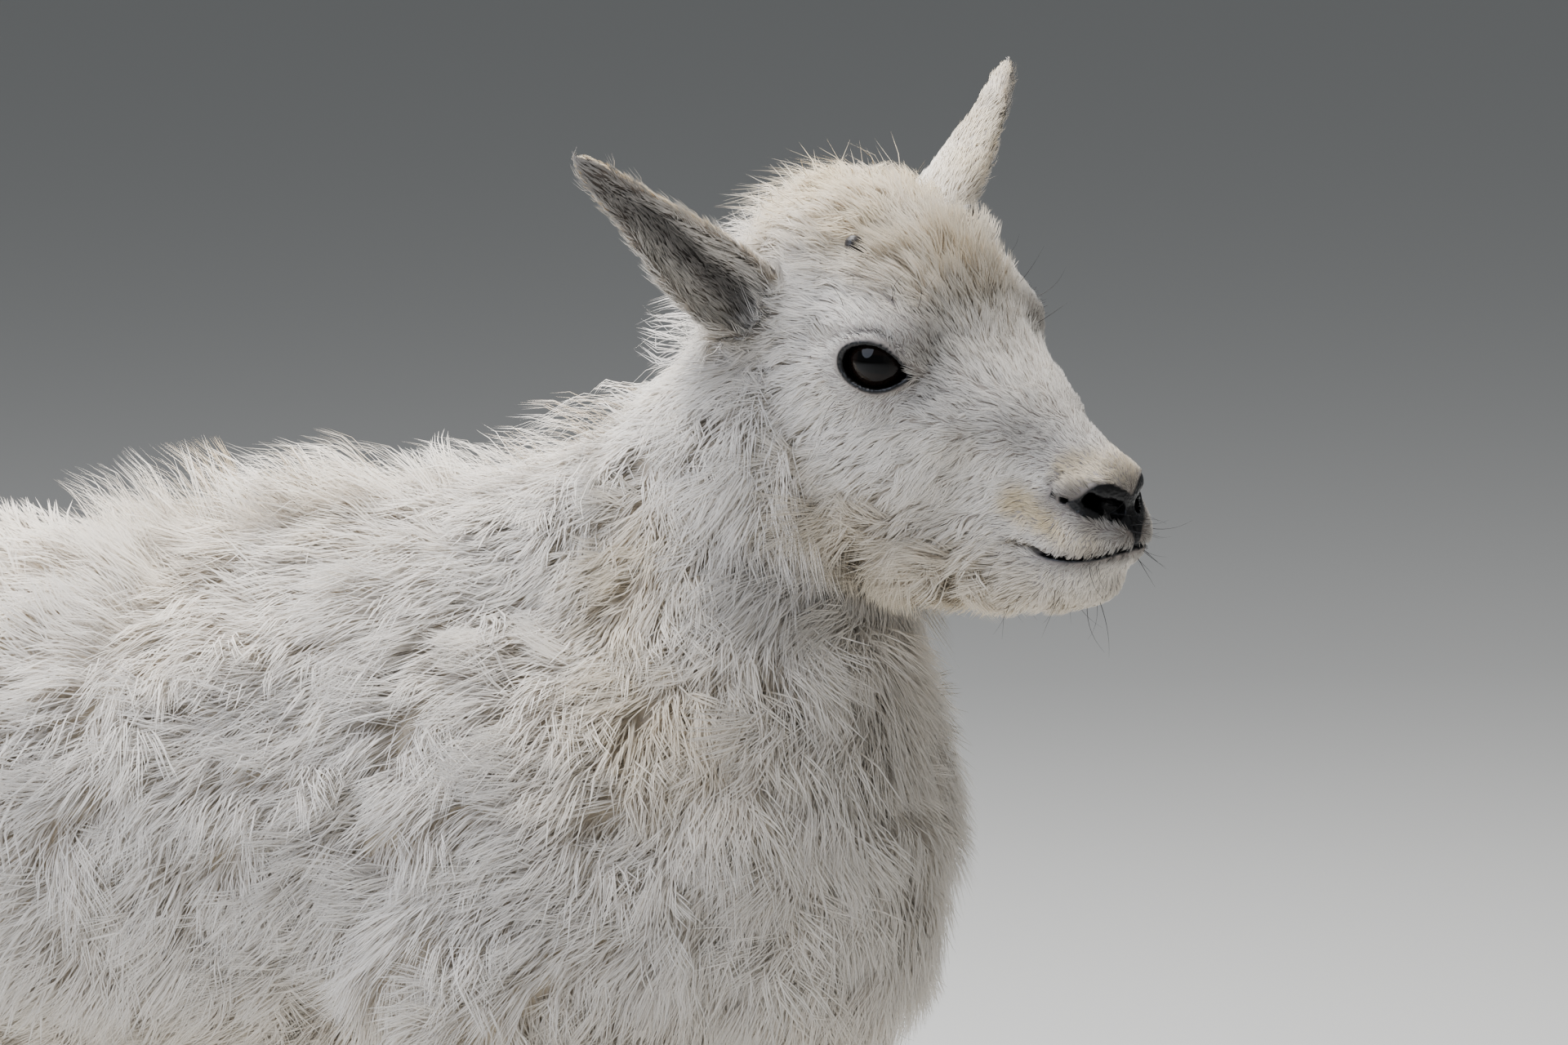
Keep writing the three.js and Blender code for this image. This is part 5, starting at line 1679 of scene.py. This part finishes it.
def tapering(root: Array, along: Array, across: Array, length: float, radii: Array, around: int) -> Array:
    """Rings of a straight horn or claw.

    Args:
        root: middle of the first ring, in mm.
        along: unit direction to the tip.
        across: unit direction square to it.
        length: length in mm.
        radii: radius of each ring, in mm.
        around: number of points in a ring.

    Returns:
        R rings of N points.
    """
    turn = np.linspace(0.0, 2.0 * math.pi, around, endpoint=False)[:, None]
    circle = np.cos(turn) * across + np.sin(turn) * np.cross(along, across)
    middle = root + along * length * np.linspace(0.0, 1.0, len(radii))[:, None]
    return middle[:, None] + radii[:, None, None] * circle


def blunt(t: Array, start: float, depth: float, least: float) -> Array:
    """How a tip rounds off at share t of the length: 1 up to start, and never under the root of least."""
    return np.sqrt(np.maximum(1.0 - np.maximum(0.0, t - start) ** 2 / depth, least))


@dataclass
class Eyes:
    """Both eyeballs, each with its cornea."""

    around: int = 96
    rings: int = 60
    radius: float = EYE_RADIUS
    cornea: float = 12.0
    bulge: float = 0.9

    def build(self, finish: bpy.types.Material) -> List[bpy.types.Object]:
        """Builds the eyeballs.

        Args:
            finish: the wet eye.

        Returns:
            One piece for each eye.
        """
        made = []
        turn = np.linspace(0.0, 2.0 * math.pi, self.around, endpoint=False)
        tilt = np.linspace(0.012, math.pi - 0.012, self.rings)
        flat = np.sin(tilt) * self.radius
        dome = self.bulge * np.clip(1.0 - (flat / self.cornea) ** 2, 0.0, 1.0) ** 2 * (tilt < 1.6)
        proud = np.cos(tilt) * self.radius + dome
        wide, high = flat[:, None] * np.cos(turn), flat[:, None] * np.sin(turn)
        off, out = (np.repeat(value[:, None], self.around, 1) for value in (flat, proud))
        ball_rows = EYE_AT + wide[..., None] * EYE.along + high[..., None] * EYE.up + out[..., None] * EYE.out
        hand = np.dot(np.cross(EYE.along, EYE.up), EYE.out)
        for side in Side:
            order = slice(None, None, 1 if hand * side.value < 0 else -1)
            points, faces = revolved((ball_rows * side.mirror)[:, order])
            piece = as_mesh("eyeball_" + side.word, HEAD.out(points), faces)
            fields = {"eye_out": off, "eye_wide": wide, "eye_high": high}
            poles = [0.0, 0.0]
            give_values(piece, {name: np.append(rows[:, order], poles) for name, rows in fields.items()})
            made.append(dress(piece, finish, "eye", "eye_" + side.word))
        return made


@dataclass
class HornBuds:
    """The two short black horns that stand in the wool of the crown."""

    at: Tuple[float, float, float] = (-30.0, 19.0, 13.0)
    length: float = 24.0
    thick: float = 5.4
    tip: float = 2.0
    around: int = 40
    rings: int = 26

    def build(self, finish: bpy.types.Material) -> None:
        """Builds both buds, ringed and blunt.

        Args:
            finish: the keratin.
        """
        along = unit(np.array([0.0, 0.55, 0.83]))
        across = unit(np.cross([0.0, 1.0, 0.0], along))
        t = np.linspace(0.0, 1.0, self.rings)
        radii = mix(self.thick, self.tip + 1.2, t) * blunt(t, 0.86, 0.0215, 0.02)
        radii = radii + 0.25 * np.sin(t * 34.0) * (1.0 - t)
        rows = tapering(np.array(self.at), along, across, self.length + self.tip, radii, self.around)
        for side in Side:
            grid = rows * side.mirror
            points, faces = revolved(grid if side is Side.LEFT else grid[:, ::-1])
            piece = as_mesh("horn_" + side.word, HEAD.out(points), faces)
            dress(piece, finish, "horn", "horn_bud_" + side.word)


@dataclass
class Feet:
    """Two claws and two dewclaws on each of the four feet."""

    length: float = 36.0
    width: float = 14.4
    toe: float = 21.0
    split: float = 2.2
    spur_reach: float = 20.6
    spur_off: float = 8.0
    around: int = 56

    # Heights at which a claw has a ring, with a rounded edge at the sole and at the coronet, in mm.
    HEIGHTS = (0.0, 0.35, 1.2, 3.0, 6.0, 9.0, 12.0, 15.0, 18.0, 20.5, 22.2, 22.7)

    def claw(self, x: float, y: float, way: int) -> Tuple[Array, Array]:
        """One claw with a flat sole.

        Args:
            x: middle of the foot.
            y: middle of the claw.
            way: which way is out from the other claw.

        Returns:
            Points and triangles.
        """
        rows = []
        turn = np.linspace(0.0, 2.0 * math.pi, self.around, endpoint=False)
        ahead = np.cos(turn)
        front = np.maximum(0.0, ahead)
        for z in self.HEIGHTS:
            shrink = float(np.interp(z, [0.0, 1.2, 3.0, 12.0, 22.7], [0.915, 0.985, 1.0, 0.9, 0.74]))
            if z == self.HEIGHTS[-1]:
                shrink -= 0.05
            shrink += 0.006 * math.sin(z * 2.4) * (z > 2.0)
            long = self.length / 2 * shrink * ahead
            wide = self.width / 2 * np.sin(turn) * (1.0 - 0.35 * front) * mix(1.0, shrink, 0.4)
            inward = -way * 1.6 * front ** 2
            shift = (self.toe - self.length / 2) * mix(1.0, 0.1, z / CORONET)
            rows.append(stacked(x + shift + long, y + wide + inward, z))
        return revolved(np.array(rows))

    def dewclaw(self, x: float, y: float) -> Tuple[Array, Array]:
        """One small claw behind the fetlock.

        Args:
            x: middle of the fetlock.
            y: middle of the claw.

        Returns:
            Points and triangles.
        """
        root = np.array([x + 4.0, y, FETLOCK - 5.0])
        along = unit(np.array([x - 11.0, y, FETLOCK - 15.0]) - root)
        t = np.linspace(0.0, 1.0, 12)
        radii = mix(5.6, 2.6, t) * blunt(t, 0.8, 0.042, 0.03)
        return revolved(tapering(root, along, np.array([0.0, 1.0, 0.0]), self.spur_reach, radii, 24))

    def build(self, finish: bpy.types.Material) -> None:
        """Builds the claws of all feet.

        Args:
            finish: the keratin.
        """
        for leg, x, y in (("foreleg", FORE_X, LEG_Y), ("hindleg", HIND_X - 25.0, LEG_Y - 2.0)):
            for side in Side:
                for which, way in (("outer", side.value), ("inner", -side.value)):
                    name = leg + "_" + side.word
                    middle = side.value * y
                    claw = self.claw(x + 19.0, middle + way * (self.width + self.split) / 2, way)
                    spur = self.dewclaw(x - 3.0, middle + way * self.spur_off)
                    for piece, solid, shape in (("_hoof_", "_claw_", claw), ("_spur_", "_dewclaw_", spur)):
                        dress(as_mesh(name + piece + which, *shape), finish, "hoof", name + solid + which)


@dataclass
class Bristles:
    """Whiskers and lashes: single bent hairs, set out by a node tree on a few roots."""

    thick: float = 0.16
    bend: float = 0.3
    seed: int = 5

    def tree(self, finish: bpy.types.Material) -> bpy.types.NodeTree:
        """Makes the node tree: a tapered bent hair on each root, aimed and scaled by the root's attributes.

        Args:
            finish: the hairs' material.

        Returns:
            The tree.
        """
        tree = bpy.data.node_groups.new("bristles", "GeometryNodeTree")
        kinds = {"Geometry": "Geometry", "Thickness": "Float", "Bend": "Float", "Seed": "Int"}
        for name, kind in kinds.items():
            tree.interface.new_socket(name, in_out="INPUT", socket_type="NodeSocket" + kind)
        tree.interface.new_socket("Geometry", in_out="OUTPUT", socket_type="NodeSocketGeometry")
        start = node(tree, "NodeGroupInput")
        roots, thickness, bend, seed = start.outputs[:4]
        times = {"operation": "MULTIPLY"}
        lean = node(tree, "ShaderNodeMath", (bend, -0.35), **times)
        middle = node(tree, "ShaderNodeCombineXYZ", (lean, 0.0, 0.55))
        end = node(tree, "ShaderNodeCombineXYZ", (bend, 0.0, 0.96))
        hair = node(tree, "GeometryNodeCurveQuadraticBezier", (7, (0, 0, 0), middle, end))
        along = node(tree, "GeometryNodeSplineParameter")
        taper = node(tree, "ShaderNodeMapRange", {"Value": along, "To Min": 1.0, "To Max": 0.12})
        sized = node(tree, "ShaderNodeMath", (taper, thickness), **times)
        thin = node(tree, "GeometryNodeSetCurveRadius", {"Curve": hair, "Radius": sized})
        ring = node(tree, "GeometryNodeCurvePrimitiveCircle", {"Resolution": 4, "Radius": 1.0})
        radius = node(tree, "GeometryNodeInputRadius")
        names = {"Curve": thin, "Profile Curve": ring, "Scale": radius, "Fill Caps": True}
        solid = node(tree, "GeometryNodeCurveToMesh", names)
        aim = node(tree, "GeometryNodeInputNamedAttribute", ("aim",), data_type="FLOAT_VECTOR")
        long = node(tree, "GeometryNodeInputNamedAttribute", ("length",), data_type="FLOAT")
        roll = node(tree, "FunctionNodeRandomValue", {2: 0.0, 3: 6.283, "Seed": seed}, data_type="FLOAT")
        spun = node(tree, "FunctionNodeEulerToRotation", (node(tree, "ShaderNodeCombineXYZ", {2: roll}),))
        aimed = node(tree, "FunctionNodeAlignRotationToVector", {"Vector": aim}, axis="Z")
        both = node(tree, "FunctionNodeRotateRotation", (aimed, spun), rotation_space="LOCAL")
        dots = node(tree, "GeometryNodeMeshToPoints", {"Mesh": roots})
        names = {"Points": dots, "Instance": solid, "Rotation": both, "Scale": long}
        placed_hairs = node(tree, "GeometryNodeInstanceOnPoints", names)
        real = node(tree, "GeometryNodeRealizeInstances", (placed_hairs,))
        painted = node(tree, "GeometryNodeSetMaterial", {"Geometry": real, "Material": finish})
        node(tree, "NodeGroupOutput", (painted,))
        return tree

    def grow(
        self, name: str, roots: Array, aims: Array, lengths: Array, finish: bpy.types.Material
    ) -> bpy.types.Object:
        """Grows one set of hairs.

        Args:
            name: name of the piece.
            roots: their roots, in mm.
            aims: the way each points.
            lengths: length of each, in mm.
            finish: their material.

        Returns:
            The set as one mesh.
        """
        mesh = bpy.data.meshes.new(name)
        mesh.from_pydata(((roots - MIDDLE) * MM).tolist(), [], [])
        aimed = mesh.attributes.new("aim", "FLOAT_VECTOR", "POINT")
        aimed.data.foreach_set("vector", aims.astype(np.float32).ravel())
        made = placed(name, mesh)
        give_values(made, {"length": lengths * MM})
        tree = self.tree(finish)
        grown = made.modifiers.new("grow", "NODES")
        grown.node_group = tree
        sockets = {s.name: s.identifier for s in tree.interface.items_tree if s.in_out == "INPUT"}
        grown[sockets["Thickness"]] = self.thick / float(lengths.mean())
        grown[sockets["Bend"]] = self.bend
        grown[sockets["Seed"]] = self.seed
        shaped = bpy.data.meshes.new_from_object(made.evaluated_get(bpy.context.evaluated_depsgraph_get()))
        made.modifiers.clear()
        made.data = shaped
        return made


@dataclass
class Kid:
    """The whole animal."""

    hide: Hide = field(default_factory=Hide)

    def coat_pieces(self) -> List[Tuple[Tufts, Array]]:
        """Divides the coat among its pieces, with ragged borders.

        Returns:
            The pieces, each with how densely it covers every triangle of the skin.
        """
        hide = self.hide
        middle = hide.points[hide.triangles].mean(1)
        normals = unit(hide.normals[hide.triangles].mean(1))
        here = COAT.survey(middle, normals)
        hx, hy, _ = columns(HEAD.into(middle))
        px, py, _ = columns(middle)
        jitter = np.random.default_rng(3).standard_normal(len(middle)) * 0.1
        is_ear = here.ear > 0.5
        is_head = (here.head + jitter > 0.5) & ~is_ear
        woolly = is_head & (here.length + 10.0 * jitter > 13.0)
        is_leg = ~is_head & ~is_ear & (here.leg + jitter > 0.5)
        is_tail = ~is_head & (here.tail + jitter > 0.5) & (px < -225.0)
        rest = ~(is_head | is_ear | is_leg | is_tail)
        is_neck = rest & ((here.neck + jitter > 0.45) | (px + 30.0 * jitter > 165.0))
        trunk = rest & ~is_neck
        front = px + 40.0 * jitter > -70.0
        near = py < 0.0
        face = is_head & ~woolly
        ridge = (normals[:, 2] > 0.3) & (off_ridge(middle) < 20.0) & (px > -70.0) & rest
        top = woolly & (hx < 2.0) & ((HEAD.aim([0.0, 0.0, 1.0]) * normals).sum(1) > -0.2)
        dense_muzzle = 1.0 + 0.9 * ramp(hx, 20.0, 80.0)
        dense_withers = 0.4 + ramp(px, -60.0, 0.0) * (1.0 - ramp(px, 60.0, 130.0))

        head_axis = (HEAD.out([-90.0, 0.0, -20.0]), HEAD.out([104.0, 0.0, -35.0]))
        neck_axis = ((120.0, 0.0, 300.0), (215.0, 0.0, 560.0))
        body_axis = ((-290.0, 0.0, 350.0), (250.0, 0.0, 350.0))
        leg_axis = ((-20.0, 0.0, 15.0), (-20.0, 0.0, 320.0))

        short = dict(bends=2, width=0.5, lock=7.0, wisp=2.2, gather=0.5, turn=16.0, crimp=0.0, uneven=0.3)
        sleek = {**short, "turn": 9.0, "lock": 12.0}
        shank = {**short, "width": 1.0, "lock": 14.0, "wisp": 4.0, "turn": 12.0}
        wool = dict(bends=2, width=0.55, lock=18.0, wisp=4.5, gather=0.45, turn=34.0, crimp=1.6, uneven=0.38)
        coarse = {**wool, "width": 1.0}
        fuzz = {**wool, "width": 0.45, "lock": 10.0, "wisp": 3.0, "turn": 50.0}
        plush = {**wool, "width": 0.58, "lock": 13.0, "wisp": 3.6, "gather": 0.4}
        mane = {**wool, "bends": 3, "width": 0.4, "lock": 16.0, "wisp": 7.0, "gather": 0.6}
        mane["extra"] = (6.0, 11.0)
        guard = {**fuzz, "width": 0.28, "gather": 0.1, "extra": (3.0, 8.0)}

        # Name, number of blades, where, how densely, line of the unwrap, seed and look
        table = [
            ("face_hair_right", 30000, face & (hy < 0.0), dense_muzzle, head_axis, 11, short),
            ("face_hair_left", 24000, face & (hy >= 0.0), dense_muzzle, head_axis, 12, short),
            ("head_wool", 28000, woolly, 1.0, head_axis, 13, fuzz),
            ("crown_guard_hair", 2600, top, 1.0, head_axis, 23, guard),
            ("ear_hair", 16000, is_ear, 1.0, head_axis, 14, sleek),
            ("neck_wool_right", 30000, is_neck & near, 1.0, neck_axis, 15, plush),
            ("neck_wool_left", 18000, is_neck & ~near, 1.0, neck_axis, 16, plush),
            ("mane", 2200, ridge, dense_withers, body_axis, 24, mane),
            ("shoulder_wool_right", 30000, trunk & near & front, 1.0, body_axis, 17, wool),
            ("shoulder_wool_left", 22000, trunk & ~near & front, 1.0, body_axis, 18, wool),
            ("haunch_wool_right", 11000, trunk & near & ~front, 1.0, body_axis, 19, coarse),
            ("haunch_wool_left", 11000, trunk & ~near & ~front, 1.0, body_axis, 20, coarse),
            ("leg_hair", 16000, is_leg, 1.0, leg_axis, 21, shank),
            ("tail_wool", 2200, is_tail, 1.0, body_axis, 22, wool),
        ]
        return [
            (Tufts(name=name, count=count, axis=axis, seed=seed, **look), here.cover * where * dense)
            for name, count, where, dense, axis, seed, look in table
        ]

    def whiskers(self, finish: bpy.types.Material) -> None:
        """Builds thin dark bristles under the chin, on the lips and round the eyes.

        Args:
            finish: their material.
        """
        hide = self.hide
        x, y, z = folded(HEAD.into(hide.points))
        random = np.random.default_rng(31)
        eye = np.linalg.norm(stacked(x, y, z) - EYE_AT, axis=1)
        on_lips = (x > 68) & (z < -26) & (z > -48) & (y < 24)
        # Where, how many, how long in mm and which way
        sets = {
            "chin_whiskers": ((x > 28) & (z < -58), 46, 17.0, HEAD.aim([0.1, 0.0, -1.0])),
            "lip_whiskers": (on_lips, 40, 13.0, HEAD.aim([0.5, 0.0, -0.5])),
            "brow_whiskers": ((eye > 17) & (eye < 27) & (z > 4), 12, 15.0, HEAD.aim([0.2, 0.0, 1.0])),
            "cheek_whiskers": ((eye > 17) & (eye < 26) & (z < -8), 9, 14.0, HEAD.aim([-0.4, 0.0, -0.6])),
        }
        for name, (where, count, length, pull) in sets.items():
            chosen = random.choice(np.nonzero(where)[0], count, replace=False)
            normals = hide.normals[chosen]
            aims = unit(normals * 0.8 + pull * 0.55 + 0.18 * random.standard_normal((count, 3)))
            lengths = length * (0.55 + 0.7 * random.random(count))
            made = Bristles(thick=0.11, bend=0.26).grow(name, hide.points[chosen], aims, lengths, finish)
            dress(made, finish, "coat")

    def lashes(self, finish: bpy.types.Material) -> None:
        """Builds short dark lashes along the upper lids.

        Args:
            finish: their material.
        """
        random = np.random.default_rng(41)
        count = 44
        for side in Side:
            t = np.linspace(-0.92, 0.86, count) + 0.015 * random.standard_normal(count)
            a = (SLIT_HALF + 0.1) * t
            ahead = np.clip(a / SLIT_FRONT, 0.0, 1.3)
            high = (SLIT_HIGH + 2.4) * (1.0 - SLIT_NARROWS * ahead ** 2)
            b = high * np.sqrt(1.0 - t * t) - SLIT_DROPS * ahead ** 2
            c = np.sqrt(np.maximum((EYE_RADIUS + 1.2) ** 2 - a * a - b * b, 1.0))
            roots = EYE_AT + a[:, None] * EYE.along + b[:, None] * EYE.up + c[:, None] * EYE.out
            aims = EYE.out + 0.5 * EYE.up + 0.5 * t[:, None] * EYE.along
            aims = aims + 0.12 * random.standard_normal((count, 3))
            lengths = 6.2 * (0.7 + 0.5 * random.random(count))
            roots, aims = HEAD.out(roots * side.mirror), HEAD.aim(unit(aims) * side.mirror)
            hairs = Bristles(thick=0.16, bend=0.22)
            dress(hairs.grow("lashes_" + side.word, roots, aims, lengths, finish), finish, "coat")

    def build(self) -> None:
        """Builds and dresses every piece."""
        flesh = ["head", "neck", "torso", "tail", "ear_left", "ear_right"]
        for leg in ("foreleg", "hindleg"):
            flesh += [f"{leg}_{side.word}_{half}" for side in Side for half in ("upper", "lower")]
        dress(self.hide.build(), Skin().build(), "coat", *flesh)
        Eyes().build(WetEye().build())
        horn = Horn().build()
        HornBuds().build(horn)
        Feet().build(horn)
        wool = Wool().build()
        for tufts, share in self.coat_pieces():
            dress(tufts.grow(self.hide, share), wool, "coat")
        bristle = Plain("#1A1614", 0.5, "dark bristle").build()
        self.whiskers(bristle)
        self.lashes(bristle)


# The studio


@dataclass(frozen=True)
class Lamp:
    """A soft round lamp that faces the head."""

    name: str
    place: Tuple[float, float, float]
    size: float
    power: float
    colour: str = "#FFFFFF"

    AIMS_AT = (0.1, 0.0, 0.42)

    def build(self) -> None:
        """Hangs the lamp."""
        lamp = bpy.data.lights.new(self.name, "AREA")
        lamp.shape = "DISK"
        lamp.size = self.size
        lamp.energy = self.power
        lamp.color = linear(self.colour)[:3]
        made = placed(self.name, lamp)
        made.location = self.place
        aim = Vector(self.AIMS_AT) - Vector(self.place)
        made.rotation_euler = aim.to_track_quat("-Z", "Y").to_euler()


@dataclass
class Studio:
    """Pale floor, soft lights and the camera.

    Attributes:
        azimuth: degrees that the camera stands ahead of the kid's right side.
        elevation: degrees that it looks down.
        distance: its distance in metres.
        width: width of the picture at the kid, in metres.
        across: middle of the picture to the camera's right, in mm.
        height: the same upwards.
        floor: half the floor's side, in mm.
        sky: how bright the surroundings are.
        lamps: the lamps.
    """

    azimuth: float = 20.0
    elevation: float = 7.0
    distance: float = 5.4
    width: float = 0.5614
    across: float = 179.2
    height: float = 452.3
    floor: float = 9e3
    sky: float = 0.34
    lamps: Tuple[Lamp, ...] = (
        Lamp("sky", (-0.5, 0.35, 2.5), 1.9, 150.0),
        Lamp("key", (-1.15, -1.55, 1.75), 2.0, 46.0, "#DFE9FF"),
        Lamp("rim", (-0.9, 1.7, 1.6), 1.2, 22.0),
        Lamp("fill", (1.9, -1.5, 0.9), 1.8, 1.0, "#FFF6EA"),
    )

    SENSOR = 36.0  # width of the camera's sensor, in mm

    def axes(self) -> Tuple[Array, Array, Array]:
        """Works out how the camera is turned.

        Returns:
            The directions to its right, up and back.
        """
        a, e = math.radians(self.azimuth), math.radians(self.elevation)
        back = np.array([math.sin(a) * math.cos(e), -math.cos(a) * math.cos(e), math.sin(e)])
        right = np.array([math.cos(a), math.sin(a), 0.0])
        return right, np.cross(back, right), back

    def camera(self) -> None:
        """Sets the camera on the photograph's framing of the head and shoulders."""
        right, up, back = self.axes()
        target = self.across * right + self.height * up + float(EYE_MIDDLE @ back) * back
        place = (target - MIDDLE) * MM + back * self.distance
        lens = bpy.data.cameras.new("camera")
        lens.sensor_width = self.SENSOR
        lens.lens = self.SENSOR * self.distance / self.width
        lens.clip_end = 100.0
        made = placed("camera", lens)
        turned = Matrix([[right[i], up[i], back[i]] for i in range(3)])
        made.matrix_world = Matrix.Translation(Vector(place)) @ turned.to_4x4()
        bpy.context.scene.camera = made

    def build(self) -> None:
        """Builds the floor, the sky, the lamps and the camera."""
        corners = np.array([[-1.0, -1.0], [1.0, -1.0], [1.0, 1.0], [-1.0, 1.0]]) * self.floor
        floor = as_mesh("floor", np.insert(corners, 2, -0.2, axis=1), np.array([[0, 1, 2, 3]]))
        floor.data.materials.append(Plain("#C4C3C0", 0.9, "pale floor").build())
        floor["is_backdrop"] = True
        world = bpy.data.worlds.new("studio")
        world.use_nodes = True
        background = world.node_tree.nodes["Background"]
        background.inputs["Color"].default_value = linear("#C3C8CC")
        background.inputs["Strength"].default_value = self.sky
        bpy.context.scene.world = world
        for lamp in self.lamps:
            lamp.build()
        self.camera()


def sizes() -> List[List[float]]:
    """The lowest and highest corner of everything, in metres."""
    return [[float(v) for v in corner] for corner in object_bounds()]


def main() -> None:
    """Builds the kid and its studio."""
    logging.basicConfig(level=logging.INFO, format="%(message)s")
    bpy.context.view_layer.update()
    Kid().build()
    Studio().build()


if __name__ == "__main__":
    main()
